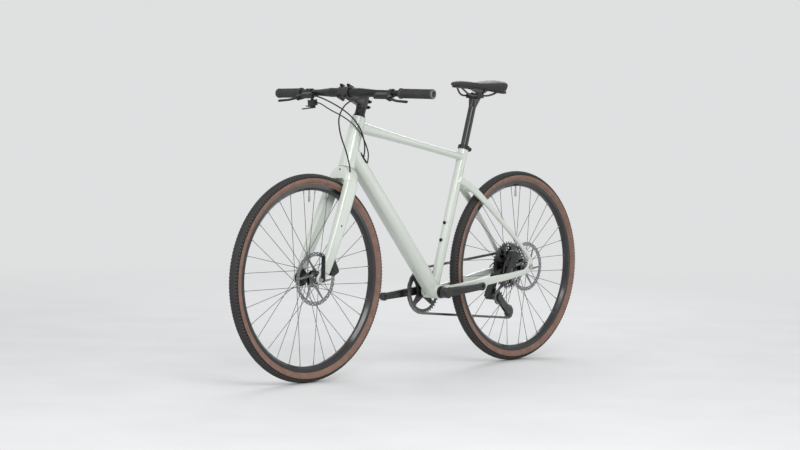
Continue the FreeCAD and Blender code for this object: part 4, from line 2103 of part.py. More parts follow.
def boss_holes(places):
    """The holes that bottle bosses need through a tube's wall."""
    holes = []
    for base, way in places:
        start = base - way * BOSS_DEPTH
        holes.append(rod(start, base + way * BOSS_HEIGHT, BOSS_RADIUS + RUNNING_FIT))
    return Part.makeCompound(holes)


def bosses():
    """Four threaded bottle bosses and the two screws on the top tube."""
    pieces = []
    seat_tube_places, down_tube_places = boss_places()
    for base, way in seat_tube_places + down_tube_places:
        start = base - way * BOSS_DEPTH
        pieces.append(pipe(start, base + way * BOSS_HEIGHT, BOSS_RADIUS, BOSS_HOLE_RADIUS))
    top_along = unit(TOP_TUBE_SEAT - TOP_TUBE_HEAD)
    top_upright = top_along.cross(LEFT) * -1
    tube = top_tube()
    for index in range(2):
        at = TOP_SCREW_FROM_HEAD + index * BOSS_SPACING
        base = TOP_TUBE_HEAD + top_along * at
        far = base + top_upright * TOP_TUBE_HEAD_HEIGHT
        pieces.append(screw_on(tube, base, far))
    return pieces


def screw_on(tube, base, far):
    """A low screw head on the upper face of a tube, between two points."""
    probe = tube.common(Part.makeLine(base, far))
    surface = max((vertex.Point for vertex in probe.Vertexes), key=lambda p: (p - base).Length)
    way = unit(far - base)
    head = rod(surface - way * BOSS_HEIGHT, surface + way * TOP_SCREW_RISE, BOLT_HEAD_RADIUS)
    head = head.cut(tube)
    return max(head.Solids, key=lambda solid: solid.CenterOfMass.z)


def points_of(route):
    """Vectors from a named route."""
    return [V(*place) for place in route]


def master_end(side):
    """The inner end of one master cylinder, where its hose starts."""
    frame = ControlFrame(side, CONTROL_TILT)
    return frame.at(LEVER_CLAMP_FROM_END + MASTER_INBOARD, 0, MASTER_FORWARD), frame


def trimmed_hose(points, radius, blocks):
    """A hose along points, cut back to the faces of the blocks that take its ends."""
    tube = route_tube(points, radius)[0]
    for block in blocks:
        tube = tube.cut(block)
    return max(tube.Solids, key=lambda solid: solid.Volume)


def front_hoses(crown, leg, caliper_body):
    """The front hose from the left lever to the crown, and its tail from the leg."""
    start, frame = master_end(1)
    first = start - frame.out * HOSE_LEAD
    upper = trimmed_hose([start, first] + points_of(FRONT_HOSE_ROUTE), HOSE_RADIUS, [crown])
    tail = trimmed_hose(points_of(FRONT_TAIL_ROUTE), HOSE_RADIUS, [leg, caliper_body])
    return [upper, tail]


def hose_leads(port):
    """The rear brake hose and the shift housing from the bar to the down tube."""
    skin = down_tube_skin()[0]
    start, frame = master_end(-1)
    first = start - frame.out * HOSE_LEAD
    brake = [start, first] + points_of(REAR_LEAD_ROUTE)
    shift_frame = ControlFrame(-1, SHIFTER_TILT)
    level = -SHIFTER_DROP - SHIFTER_HEIGHT / 2
    pod_from_end = SHIFTER_FROM_END + SHIFTER_CLAMP_WIDTH / 2 + SHIFTER_RADIUS
    pod = shift_frame.at(pod_from_end, 0, 0, level)
    shift = [pod, pod - shift_frame.out * HOSE_LEAD] + points_of(SHIFT_LEAD_ROUTE)
    return [
        trimmed_hose(brake, HOSE_RADIUS, [skin, port]),
        trimmed_hose(shift, HOUSING_RADIUS, [skin, port]),
    ]


def hose_tails(blocks):
    """The rear ends: brake hose to the rear caliper, shift housing to the derailleur."""
    return [
        trimmed_hose(points_of(REAR_TAIL_ROUTE), HOSE_RADIUS, blocks),
        trimmed_hose(points_of(SHIFT_TAIL_ROUTE), HOUSING_RADIUS, blocks),
    ]


def build_wheel(prefix, axle, left_end, right_end, flange_left, flange_right, rotor_y):
    """Writes one wheel's six pieces."""
    spokes, nipples = spokes_and_nipples(axle, flange_left, flange_right)
    export(prefix + "_tyre", tyre(axle))
    export(prefix + "_rim", rim(axle))
    export(prefix + "_spokes", *spokes)
    fittings = nipples + [valve(axle)] + hub_fittings(axle, left_end, right_end, rotor_y)
    export(prefix + "_wheel_fittings", *fittings)
    export(prefix + "_hub", hub(axle, left_end, right_end, flange_left, flange_right, rotor_y))
    export(prefix + "_rotor", rotor(axle, rotor_y))


def build_frame():
    """Writes the frame's tubes and fittings; returns the stays and dropouts."""
    chainstays, seatstays, drops = rear_triangle()
    port = hose_port()
    export("head_tube", head_tube())
    export("top_tube", top_tube())
    export("down_tube", down_tube())
    export("seat_tube", seat_tube())
    export("bottom_bracket_shell", bottom_bracket_shell())
    export("chainstays", *chainstays)
    export("seatstays", *seatstays)
    export("dropouts", *drops)
    export("bottom_bracket_cups", *bottom_bracket_cups())
    export("seat_clamp", *seat_clamp())
    export("frame_fittings", port, *bosses())
    rear_outer = DROPOUT_THICKNESS
    export(
        "rear_axle",
        axle_rod(REAR_AXLE, REAR_SPACING, rear_outer, REAR_HUB_LEFT, FREEHUB_END),
        rod(
            REAR_AXLE + LEFT * (REAR_SPACING / 2 + rear_outer),
            REAR_AXLE + LEFT * (REAR_SPACING / 2 + rear_outer + AXLE_HEAD_LENGTH),
            AXLE_HEAD_RADIUS,
        ),
    )
    foot = chainstay_stations(1)[2] + V(CALIPER_REAR_FOOT_X, 0, 0)
    caliper_parts = caliper(REAR_AXLE, REAR_ROTOR_Y, REAR_CALIPER_ANGLE, foot, chainstays[0])
    export("rear_caliper", *caliper_parts)
    body = derailleur_body()
    export("derailleur_body", body)
    blocks = chainstays + seatstays + drops + [caliper_parts[0], body]
    export("hose_tails", *hose_tails(blocks))
    export("hose_leads", *hose_leads(port))


def build_fork():
    """Writes the fork, headset, cockpit and controls."""
    crown = fork_crown()
    legs = [fork_leg(1), fork_leg(-1)]
    export("fork_crown", crown)
    export("fork_legs", *legs)
    export("headset", *headset())
    stem, faceplate = stem_pieces()
    export("stem", stem)
    export("stem_faceplate", faceplate)
    export("cockpit_bolts", *cockpit_bolts())
    export("handlebar", handlebar())
    export("grips", grip(1), grip(-1), bar_plug(1), bar_plug(-1))
    shifter, shift_levers = shifter_parts()
    export("control_bodies", brake_body(1), brake_body(-1), shifter)
    export("brake_lever_left", brake_lever(1))
    export("brake_lever_right", brake_lever(-1))
    export("shift_thumb_lever", shift_levers[0])
    export("shift_release_lever", shift_levers[1])
    foot = steer_point(CALIPER_FRONT_FOOT_T, CALIPER_FRONT_FOOT_FORWARD, LEG_STATION_Y[2])
    parts = caliper(FRONT_AXLE, FRONT_ROTOR_Y, FRONT_CALIPER_ANGLE, foot, legs[0])
    export("front_caliper", *parts)
    export("front_brake_hose", *front_hoses(crown, legs[0], parts[0]))
    cam, lever = front_axle_lever_parts()
    axle = axle_rod(
        FRONT_AXLE, FRONT_SPACING, FORK_TIP_THICKNESS, FRONT_HUB_HALF_WIDTH, FRONT_HUB_HALF_WIDTH
    )
    export("front_axle", axle, cam)
    export("front_axle_lever", lever)


def build_drive():
    """Writes cranks, chainring, chain, cassette and derailleur."""
    cage_angle, loop, points = closed_chain()
    tension = tension_pulley_at(cage_angle)
    export("crank_arms", *crank_arms())
    ring_centre = BB + CHAIN_PLANE
    ring = sprocket(
        ring_centre,
        CHAINRING_TEETH,
        roller_phase(loop, points, 0),
        CHAINRING_THICKNESS,
        CHAINRING_INNER_RADIUS,
    )
    half = LEFT * (CHAINRING_THICKNESS / 2)
    tab_at = around(ring_centre, CHAINRING_BOLT_CIRCLE, SPIDER_ARM_ANGLE, 0)
    tab = rod(tab_at - half, tab_at + half, CHAINRING_TAB_RADIUS)
    tabs = ring_of(tab, ring_centre, LEFT, CHAINRING_BOLT_COUNT)
    bolt_at = tab_at - half - LEFT * SPIDER_THICKNESS
    bolt = rod(bolt_at, bolt_at - LEFT * CRANK_BOLT_HEIGHT, CHAINRING_BOLT_RADIUS)
    bolts = ring_of(bolt, ring_centre, LEFT, CHAINRING_BOLT_COUNT)
    export("chainring", fused(ring, *tabs), *bolts)
    export("chain", *chain(points))
    export("cassette", *cassette(roller_phase(loop, points, 3)))
    export("derailleur_outer_link", derailleur_link(BODY_PIVOT_OUTER))
    export("derailleur_inner_link", derailleur_link(BODY_PIVOT_INNER))
    export("derailleur_knuckle", derailleur_knuckle())
    export("derailleur_cage", derailleur_cage(tension))
    export("guide_pulley", pulley(GUIDE_PULLEY, roller_phase(loop, points, 2)))
    export("tension_pulley", pulley(tension, roller_phase(loop, points, 1)))


def build_seat():
    """Writes the seatpost and the saddle."""
    pad = saddle_pad()
    base = saddle_base(pad)
    rails = saddle_rails(base, pad)
    export("seatpost", seatpost())
    export("saddle_clamp", *saddle_clamp())
    export("saddle_rails", *rails)
    export("saddle_base", base)
    export("saddle_pad", pad)


def main():
    """Builds every piece."""
    os.makedirs("parts", exist_ok=True)
    build_frame()
    build_fork()
    front_half = FRONT_HUB_HALF_WIDTH
    front = (front_half, front_half, FRONT_FLANGE_LEFT, FRONT_FLANGE_RIGHT, FRONT_ROTOR_Y)
    rear = (REAR_HUB_LEFT, REAR_HUB_RIGHT, REAR_FLANGE_LEFT, REAR_FLANGE_RIGHT, REAR_ROTOR_Y)
    build_wheel("front", FRONT_AXLE, *front)
    build_wheel("rear", REAR_AXLE, *rear)
    build_drive()
    build_seat()


main()
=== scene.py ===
"""The finished look of a flat-bar hybrid bicycle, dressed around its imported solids."""

import json
import logging
import math
from dataclasses import dataclass
from enum import Enum
from typing import Iterable, Sequence

import bmesh
import bpy
import numpy as np
from mathutils import Matrix, Vector

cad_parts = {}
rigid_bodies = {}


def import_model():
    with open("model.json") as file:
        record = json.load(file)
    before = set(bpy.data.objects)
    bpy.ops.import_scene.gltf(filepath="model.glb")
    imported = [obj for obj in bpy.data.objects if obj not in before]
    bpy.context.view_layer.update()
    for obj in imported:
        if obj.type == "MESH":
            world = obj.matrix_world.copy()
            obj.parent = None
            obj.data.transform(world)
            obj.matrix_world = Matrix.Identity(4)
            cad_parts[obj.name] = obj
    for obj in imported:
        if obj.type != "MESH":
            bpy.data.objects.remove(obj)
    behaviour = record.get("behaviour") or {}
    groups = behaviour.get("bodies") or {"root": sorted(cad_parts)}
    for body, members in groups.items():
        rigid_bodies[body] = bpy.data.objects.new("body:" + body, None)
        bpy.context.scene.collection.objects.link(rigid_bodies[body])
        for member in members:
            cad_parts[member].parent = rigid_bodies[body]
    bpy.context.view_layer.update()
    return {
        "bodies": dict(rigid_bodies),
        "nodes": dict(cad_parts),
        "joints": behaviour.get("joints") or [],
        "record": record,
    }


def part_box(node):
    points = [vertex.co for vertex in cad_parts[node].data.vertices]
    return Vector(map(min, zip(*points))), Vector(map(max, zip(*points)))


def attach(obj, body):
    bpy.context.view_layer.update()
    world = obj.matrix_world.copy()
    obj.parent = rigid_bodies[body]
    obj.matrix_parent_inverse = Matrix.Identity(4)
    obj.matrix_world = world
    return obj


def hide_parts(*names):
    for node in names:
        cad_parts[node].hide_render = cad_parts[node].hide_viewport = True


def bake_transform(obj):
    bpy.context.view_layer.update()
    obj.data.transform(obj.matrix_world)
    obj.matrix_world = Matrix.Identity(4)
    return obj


LOG = logging.getLogger("bicycle")
Colour = tuple[float, float, float]
Point = tuple[float, float, float]
Outline = list[tuple[float, float]]
Bore = tuple[Vector, Vector, float]
Socket = bpy.types.NodeSocket
Material = bpy.types.Material
Piece = bpy.types.Object
Build = bmesh.types.BMesh
MM = 0.001
WELD_DISTANCE = 1e-6
GREY_LOW = 0.3
GREY_HIGH = 0.7
HOSE_STEPS = 10
HOSE_BEVEL = 4
HOSE_ORDER = 3
ORIGIN = Vector((0.0, 0.0, 0.0))
LEFT = Vector((0.0, 1.0, 0.0))
UP = Vector((0.0, 0.0, 1.0))


class Body(Enum):
    """The moving bodies that pieces ride on."""

    FRAME = "frame"
    FORK = "fork"
    LEFT_LEVER = "left_lever"
    RIGHT_LEVER = "right_lever"
    THUMB_LEVER = "thumb_lever"
    RELEASE_LEVER = "release_lever"
    AXLE_LEVER = "axle_lever"
    SEAT = "seat"
    FRONT_WHEEL = "front_wheel"
    REAR_WHEEL = "rear_wheel"
    CRANKS = "cranks"
    CASSETTE = "cassette_body"
    OUTER_LINK = "outer_link"
    INNER_LINK = "inner_link"
    KNUCKLE = "knuckle"
    CAGE = "cage"
    UPPER_PULLEY = "upper_pulley"
    LOWER_PULLEY = "lower_pulley"


class Slot(Enum):
    """The record's material slots."""

    PAINT = "frame_paint"
    ALLOY = "black_alloy"
    STEEL = "steel"
    PLASTIC = "black_plastic"
    GRIP = "grip_rubber"
    TYRE = "tyre_rubber"
    SADDLE = "saddle_cover"


class Side(Enum):
    """The rider's left and right, as signs along +Y."""

    LEFT = 1
    RIGHT = -1


def unit(vector: Iterable[float]) -> Vector:
    """The same direction with length one."""
    return Vector(vector).normalized()


def turned(degrees: float) -> Vector:
    """A direction in the bike's middle plane, measured up from forward."""
    angle = math.radians(degrees)
    return Vector((math.cos(angle), 0.0, math.sin(angle)))


@dataclass(frozen=True)
class Layout:
    """The bike's main places, in metres, as the solids have them."""

    wheelbase: float = 1.071
    tyre_radius: float = 0.349
    chainstay: float = 0.452
    bracket_drop: float = 0.074
    rake: float = 0.050
    head_angle: float = 71.5
    seat_angle: float = 73.5
    bar: Point = (0.36758, 0.0, 0.96994)
    bar_bend: float = 0.066
    bar_half_width: float = 0.362
    bar_sweep: float = 7.0
    bar_droop: float = 0.7

    @property
    def front_axle(self) -> Vector:
        """The centre of the front wheel."""
        return Vector((self.wheelbase / 2, 0.0, self.tyre_radius))

    @property
    def rear_axle(self) -> Vector:
        """The centre of the rear wheel."""
        return Vector((-self.wheelbase / 2, 0.0, self.tyre_radius))

    @property
    def bracket(self) -> Vector:
        """The centre of the bottom bracket."""
        run = math.sqrt(self.chainstay**2 - self.bracket_drop**2)
        return self.rear_axle + Vector((run, 0.0, -self.bracket_drop))

    @property
    def steer_up(self) -> Vector:
        """The steering axis, upwards."""
        return turned(180.0 - self.head_angle)

    @property
    def steer_forward(self) -> Vector:
        """Forward, square to the steering axis."""
        return turned(90.0 - self.head_angle)

    @property
    def seat_up(self) -> Vector:
        """The seat tube's axis, upwards."""
        return turned(180.0 - self.seat_angle)

    def on_steerer(self, along: float, forward: float = 0.0, left: float = 0.0) -> Vector:
        """A point measured along the steering axis.

        Args:
            along: Distance up the axis from the foot of the front axle.
            forward: Distance in front of the axis.
            left: Distance to the rider's left.

        Returns:
            The point, in the row frame.
        """
        base = self.front_axle + self.steer_up * along
        return base + self.steer_forward * (forward - self.rake) + LEFT * left

    def bar_way(self, side: Side) -> Vector:
        """One side's swept bar direction, outwards."""
        sweep = math.radians(self.bar_sweep)
        droop = math.radians(self.bar_droop)
        flat = Vector((-math.sin(sweep), side.value * math.cos(sweep), 0.0))
        return unit(flat * math.cos(droop) - UP * math.sin(droop))

    def bar_end(self, side: Side) -> Vector:
        """The middle of one end of the bar."""
        way = self.bar_way(side)
        bend = Vector(self.bar) + LEFT * (side.value * self.bar_bend)
        return bend + way * ((self.bar_half_width - self.bar_bend) / abs(way.y))


@dataclass(frozen=True)
class ControlAxes:
    """Directions at one side's brake controls, tilted forward and down."""

    layout: Layout
    side: Side
    tilt: float = 28.0

    @property
    def out(self) -> Vector:
        """Outwards along the bar."""
        return self.layout.bar_way(self.side)

    @property
    def level(self) -> Vector:
        """Forward, square to the bar and level."""
        return unit(self.out.cross(UP) * self.side.value)

    @property
    def upright(self) -> Vector:
        """Up, square to the bar."""
        return unit(self.level.cross(self.out) * self.side.value)

    @property
    def forward(self) -> Vector:
        """Forward along the tilted lever plane."""
        angle = math.radians(self.tilt)
        return self.level * math.cos(angle) - self.upright * math.sin(angle)

    @property
    def up(self) -> Vector:
        """Square to the tilted lever plane."""
        angle = math.radians(self.tilt)
        return self.level * math.sin(angle) + self.upright * math.cos(angle)


# Finishes


class Graph:
    """One material's node tree, with the few node recipes that the finishes share."""

    def __init__(self, name: str) -> None:
        """Starts a material with a principled shader."""
        self.material = bpy.data.materials.new(name)
        self.material.use_nodes = True
        self.tree = self.material.node_tree
        self.shader = self.tree.nodes["Principled BSDF"]

    def add(self, kind: str, **inputs: object) -> bpy.types.Node:
        """Adds a node.

        Args:
            kind: The node's type name.
            **inputs: Values for its inputs, with spaces in their names as underscores.

        Returns:
            The node.
        """
        node = self.tree.nodes.new(kind)
        for name, value in inputs.items():
            node.inputs[name.replace("_", " ")].default_value = value
        return node

    def link(self, source: Socket, target: Socket) -> None:
        """Joins two sockets."""
        self.tree.links.new(source, target)

    def set(self, **values: object) -> None:
        """Sets plain values on the shader's own sockets."""
        for name, value in values.items():
            self.shader.inputs[name.replace("_", " ")].default_value = value

    def place(
        self, scale: Point = (1.0, 1.0, 1.0), turn: Point = (0.0, 0.0, 0.0), uv: bool = False
    ) -> Socket:
        """Object or UV coordinates through a mapping.

        Args:
            scale: Stretch of the pattern along each axis.
            turn: Turn of the pattern, in degrees.
            uv: Whether to read the piece's UV map.

        Returns:
            The mapped vector socket.
        """
        source = self.add("ShaderNodeTexCoord")
        mapping = self.add("ShaderNodeMapping")
        mapping.inputs["Scale"].default_value = scale
        mapping.inputs["Rotation"].default_value = [math.radians(angle) for angle in turn]
        self.link(source.outputs["UV" if uv else "Object"], mapping.inputs["Vector"])
        return mapping.outputs["Vector"]

    def texture(self, kind: str, output: str, vector: Socket, **inputs: float) -> Socket:
        """One output of a texture node that reads a vector."""
        node = self.add(kind, **inputs)
        self.link(vector, node.inputs["Vector"])
        return node.outputs[output]

    def noise(self, vector: Socket, scale: float, detail: float = 2.0) -> Socket:
        """A noise pattern's grey socket."""
        return self.texture("ShaderNodeTexNoise", "Fac", vector, Scale=scale, Detail=detail)

    def wave(self, vector: Socket, scale: float, distortion: float = 0.0) -> Socket:
        """A band pattern's grey socket."""
        return self.texture("ShaderNodeTexWave", "Fac", vector, Scale=scale, Distortion=distortion)

    def cells(self, vector: Socket, scale: float) -> Socket:
        """A cell pattern's distance socket."""
        return self.texture("ShaderNodeTexVoronoi", "Distance", vector, Scale=scale)

    def ramp(self, grey: Socket, low: Colour, high: Colour, start: float, end: float) -> Socket:
        """A two-colour ramp over a grey pattern.

        Args:
            grey: The pattern.
            low: Colour at the dark end.
            high: Colour at the light end.
            start: Grey value of the dark end.
            end: Grey value of the light end.

        Returns:
            The colour socket.
        """
        node = self.add("ShaderNodeValToRGB")
        first, last = node.color_ramp.elements
        first.position, last.position = start, end
        first.color = (*low, 1.0)
        last.color = (*high, 1.0)
        self.link(grey, node.inputs["Fac"])
        return node.outputs["Color"]

    def range(self, grey: Socket, low: float, high: float) -> Socket:
        """A grey pattern stretched to a range of values."""
        node = self.add("ShaderNodeMapRange", To_Min=low, To_Max=high)
        node.inputs["From Min"].default_value = GREY_LOW
        node.inputs["From Max"].default_value = GREY_HIGH
        self.link(grey, node.inputs["Value"])
        return node.outputs["Result"]

    def sum(self, first: Socket, second: Socket, share: float) -> Socket:
        """The first pattern plus a share of the second."""
        node = self.add("ShaderNodeMath")
        node.operation = "MULTIPLY_ADD"
        node.inputs[1].default_value = share
        self.link(second, node.inputs[0])
        self.link(first, node.inputs[2])
        return node.outputs["Value"]

    def dress(
        self, colour: Socket, roughness: Socket, height: Socket, strength: float, depth: float
    ) -> None:
        """Links patterns to the shader.

        Args:
            colour: Socket for the base colour.
            roughness: Socket for the roughness.
            height: Socket for the surface relief.
            strength: Strength of the relief.
            depth: Depth of the relief, in metres.
        """
        bump = self.add("ShaderNodeBump", Strength=strength, Distance=depth)
        self.link(height, bump.inputs["Height"])
        self.link(colour, self.shader.inputs["Base Color"])
        self.link(roughness, self.shader.inputs["Roughness"])
        self.link(bump.outputs["Normal"], self.shader.inputs["Normal"])


def shade(colour: Colour, factor: float) -> Colour:
    """A colour made lighter or darker by a factor."""
    return tuple(min(1.0, channel * factor) for channel in colour)


@dataclass(frozen=True)
class Tone:
    """How a pattern darkens and lightens a base colour, and over which of its greys."""

    dark: float
    light: float
    start: float
    end: float

    def tint(self, graph: Graph, pattern: Socket, base: Colour) -> Socket:
        """The base colour varied by a pattern."""
        low, high = shade(base, self.dark), shade(base, self.light)
        return graph.ramp(pattern, low, high, self.start, self.end)


@dataclass(frozen=True)
class Finish:
    """A material whose patterns vary its colour, its sheen and its relief."""

    name: str
    base: Colour
    roughness: float = 0.5
    metallic: float = 0.0
    coat: float = 0.0
    coat_roughness: float = 0.03
    specular: float = 0.5
    share: float = 0.3
    tone: Tone = Tone(0.8, 1.3, 0.4, 0.9)
    smoother: float = 0.08
    rougher: float = 0.08
    strength: float = 0.15
    depth: float = 0.00015

    def patterns(self, graph: Graph) -> tuple[Socket, Socket, Socket]:
        """The patterns for the colour, the sheen and the relief."""
        raise NotImplementedError

    def make(self) -> Material:
        """Builds the material."""
        graph = Graph(self.name)
        graph.set(Metallic=self.metallic, Specular_IOR_Level=self.specular)
        graph.set(Coat_Weight=self.coat, Coat_Roughness=self.coat_roughness)
        tint, sheen, relief = self.patterns(graph)
        colour = self.tone.tint(graph, tint, self.base)
        low, high = self.roughness - self.smoother, self.roughness + self.rougher
        graph.dress(colour, graph.range(sheen, low, high), relief, self.strength, self.depth)
        return graph.material


@dataclass(frozen=True)
class PaintFinish(Finish):
    """Pale satin-gloss paint with a fine pearl flake under a clear coat."""

    roughness: float = 0.3
    metallic: float = 0.08
    coat: float = 0.55
    coat_roughness: float = 0.07
    share: float = 0.35
    tone: Tone = Tone(0.985, 1.015, 0.35, 0.95)
    smoother: float = 0.02
    rougher: float = 0.02
    strength: float = 0.02
    depth: float = 0.00005
    cloud_scale: float = 2.0
    flake_scale: float = 2600.0
    peel_scale: float = 900.0

    def patterns(self, graph: Graph) -> tuple[Socket, Socket, Socket]:
        """A cloud with pearl flakes, the flakes, and the paint's peel."""
        scales = (self.cloud_scale, self.flake_scale, self.peel_scale)
        cloud, flake, peel = (graph.noise(graph.place(), scale, 1.0) for scale in scales)
        return graph.sum(cloud, flake, self.share), flake, peel


@dataclass(frozen=True)
class RubberFinish(Finish):
    """Matt moulded rubber with a dusty bloom."""

    roughness: float = 0.72
    tone: Tone = Tone(0.75, 1.45, 0.4, 0.95)
    rougher: float = 0.1
    strength: float = 0.25
    depth: float = 0.0002
    cloud_scale: float = 26.0
    cloud_detail: float = 5.0
    grain_scale: float = 900.0
    grain_detail: float = 3.0

    def patterns(self, graph: Graph) -> tuple[Socket, Socket, Socket]:
        """A cloud with a fine grain, the cloud, and the grain."""
        cloud = graph.noise(graph.place(), self.cloud_scale, self.cloud_detail)
        grain = graph.noise(graph.place(), self.grain_scale, self.grain_detail)
        return graph.sum(cloud, grain, self.share), cloud, grain


@dataclass(frozen=True)
class PlasticFinish(RubberFinish):
    """Moulded black plastic with a spark-eroded texture."""

    roughness: float = 0.48
    tone: Tone = Tone(0.8, 1.3, 0.4, 0.9)
    smoother: float = 0.06
    rougher: float = 0.08
    strength: float = 0.15
    depth: float = 0.00015
    cloud_scale: float = 30.0
    cloud_detail: float = 3.0
    grain_scale: float = 1300.0
    grain_detail: float = 2.0


@dataclass(frozen=True)
class AlloyFinish(RubberFinish):
    """Dark anodised or coated alloy with a fine blasted grain."""

    roughness: float = 0.36
    metallic: float = 0.35
    coat_roughness: float = 0.1
    share: float = 0.4
    tone: Tone = Tone(0.78, 1.3, 0.4, 0.95)
    smoother: float = 0.07
    rougher: float = 0.08
    strength: float = 0.1
    depth: float = 0.00012
    cloud_scale: float = 22.0
    cloud_detail: float = 4.0
    grain_scale: float = 1500.0
    grain_detail: float = 2.0


@dataclass(frozen=True)
class SteelFinish(Finish):
    """Bare or darkened steel with drawn brush lines."""

    roughness: float = 0.32
    metallic: float = 1.0
    share: float = 0.5
    tone: Tone = Tone(0.72, 1.22, 0.45, 1.0)
    rougher: float = 0.12
    strength: float = 0.08
    depth: float = 0.00008
    lines: Point = (60.0, 2200.0, 60.0)
    soil_scale: float = 38.0
    detail: float = 4.0

    def patterns(self, graph: Graph) -> tuple[Socket, Socket, Socket]:
        """Brush lines with soil, the soil, and the brush lines."""
        brush = graph.noise(graph.place(self.lines), 1.0, self.detail)
        soil = graph.noise(graph.place(), self.soil_scale, self.detail)
        return graph.sum(brush, soil, self.share), soil, brush


@dataclass(frozen=True)
class CasingFinish(Finish):
    """Tan tyre casing with crossed threads, read from the tyre's UV map in millimetres."""

    roughness: float = 0.635
    specular: float = 0.35
    share: float = 0.22
    tone: Tone = Tone(0.66, 1.2, 0.4, 0.95)
    smoother: float = 0.085
    rougher: float = 0.085
    strength: float = 0.35
    depth: float = 0.00025
    bias: float = 45.0
    thread_scale: float = 0.42
    thread_waver: float = 0.4
    cloud_scale: float = 42.0
    cloud_detail: float = 5.0

    def thread(self, graph: Graph, turn: float) -> Socket:
        """The casing's threads in one direction, in degrees."""
        vector = graph.place(turn=(0.0, 0.0, turn), uv=True)
        return graph.wave(vector, self.thread_scale, self.thread_waver)

    def patterns(self, graph: Graph) -> tuple[Socket, Socket, Socket]:
        """A cloud with the threads, the cloud, and the threads."""
        threads = graph.sum(self.thread(graph, self.bias), self.thread(graph, -self.bias), 1.0)
        cloud = graph.noise(graph.place(), self.cloud_scale, self.cloud_detail)
        return graph.sum(cloud, threads, self.share), cloud, threads


@dataclass(frozen=True)
class LeatherFinish(Finish):
    """Stretched saddle cover with a pebbled grain."""

    specular: float = 0.3
    share: float = 0.2
    tone: Tone = Tone(0.88, 1.14, 0.2, 0.9)
    smoother: float = 0.04
    rougher: float = 0.05
    strength: float = 0.07
    depth: float = 0.0001
    pebble_scale: float = 1100.0
    crease_stretch: Point = (1.0, 2.5, 1.0)
    crease_scale: float = 34.0

    def patterns(self, graph: Graph) -> tuple[Socket, Socket, Socket]:
        """Pebbles with creases, the creases, and the pebbles."""
        pebble = graph.cells(graph.place(), self.pebble_scale)
        crease = graph.noise(graph.place(self.crease_stretch), self.crease_scale)
        return graph.sum(pebble, crease, self.share), crease, pebble


@dataclass(frozen=True)
class Finishes:
    """Every finish on the bike."""

    paint: PaintFinish = PaintFinish("sage_paint", (0.60, 0.645, 0.585))
    satin: AlloyFinish = AlloyFinish("satin_black_alloy", (0.014, 0.014, 0.015))
    gloss: AlloyFinish = AlloyFinish("gloss_black_rim", (0.007, 0.007, 0.008), 0.2, 0.0, 0.35)
    stem: AlloyFinish = AlloyFinish("blasted_black_stem", (0.045, 0.045, 0.047), 0.28, 0.5)
    cast: AlloyFinish = AlloyFinish(
        "cast_black_alloy", (0.02, 0.02, 0.021), 0.44, 0.25, grain_scale=700.0
    )
    steel: SteelFinish = SteelFinish("brushed_steel", (0.42, 0.42, 0.43))
    rotor: SteelFinish = SteelFinish(
        "ground_rotor_steel", (0.22, 0.22, 0.23), 0.34, lines=(900.0, 60.0, 900.0)
    )
    rail: SteelFinish = SteelFinish("darkened_rail_steel", (0.13, 0.13, 0.133), 0.36)
    spoke: SteelFinish = SteelFinish("black_spoke_steel", (0.07, 0.07, 0.073), 0.3)
    chain: SteelFinish = SteelFinish("oiled_chain_steel", (0.19, 0.187, 0.182), 0.34)
    cog: SteelFinish = SteelFinish(
        "dark_cog_steel", (0.11, 0.11, 0.115), 0.38, lines=(300.0, 60.0, 300.0)
    )
    dark_screw: SteelFinish = SteelFinish("blackened_screw", (0.035, 0.035, 0.036), 0.4)
    plastic: PlasticFinish = PlasticFinish("moulded_black_plastic", (0.016, 0.016, 0.017))
    hose: PlasticFinish = PlasticFinish("black_hose_jacket", (0.012, 0.012, 0.012), 0.4)
    grip: RubberFinish = RubberFinish("grip_rubber", (0.03, 0.029, 0.029), 0.66)
    tread: RubberFinish = RubberFinish("tread_rubber", (0.028, 0.027, 0.027), 0.7)
    # Near-black copy of the tread rubber: painted shade in the band between the tyre's side knobs
    # and inside the fork's threaded holes.
    groove: RubberFinish = RubberFinish("painted_shade_rubber", (0.008, 0.008, 0.008), 0.8)
    # Lighter copy of the tread rubber: a painted highlight on the side knobs' faces.
    knob: RubberFinish = RubberFinish("knob_rubber_painted_highlight", (0.05, 0.0445, 0.041), 0.62)
    casing: CasingFinish = CasingFinish("tan_casing", (0.235, 0.137, 0.103))
    cover: LeatherFinish = LeatherFinish("saddle_cover", (0.037, 0.033, 0.033))
    crank: AlloyFinish = AlloyFinish("polished_black_crank", (0.026, 0.026, 0.027), 0.26, 0.4, 0.2)
    post: AlloyFinish = AlloyFinish("gloss_black_post", (0.014, 0.014, 0.015), 0.22, 0.2, 0.3)
    end_ring: AlloyFinish = AlloyFinish("grip_end_alloy", (0.16, 0.16, 0.163), 0.34, 0.5)

    def made(self) -> dict[str, Material]:
        """Builds each finish's material, by field name."""
        return {name: getattr(self, name).make() for name in self.__dataclass_fields__}


# Mesh helpers


def new_piece(name: str, data: bpy.types.ID) -> Piece:
    """Puts a mesh, curve, lamp or camera in the scene as an object at the origin."""
    piece = bpy.data.objects.new(name, data)
    bpy.context.scene.collection.objects.link(piece)
    return piece


def piece_from(name: str, build: Build) -> Piece:
    """Turns a bmesh into an object and frees it."""
    mesh = bpy.data.meshes.new(name)
    build.to_mesh(mesh)
    build.free()
    return new_piece(name, mesh)


def final_mesh(piece: Piece) -> bpy.types.Mesh:
    """The plain mesh that a piece or a curve comes to, modifiers and all."""
    graph = bpy.context.evaluated_depsgraph_get()
    graph.update()
    return bpy.data.meshes.new_from_object(piece.evaluated_get(graph), depsgraph=graph)


def settle(piece: Piece) -> Piece:
    """Applies a piece's modifiers, so that only a plain mesh is left."""
    mesh = final_mesh(piece)
    piece.modifiers.clear()
    piece.data = mesh
    return piece


def smooth(piece: Piece, angle: float) -> Piece:
    """Shades a piece smooth, with edges kept where faces meet at more than an angle."""
    mesh = piece.data
    mesh.polygons.foreach_set("use_smooth", [True] * len(mesh.polygons))
    mesh.set_sharp_from_angle(angle=math.radians(angle))
    mesh.update()
    return piece


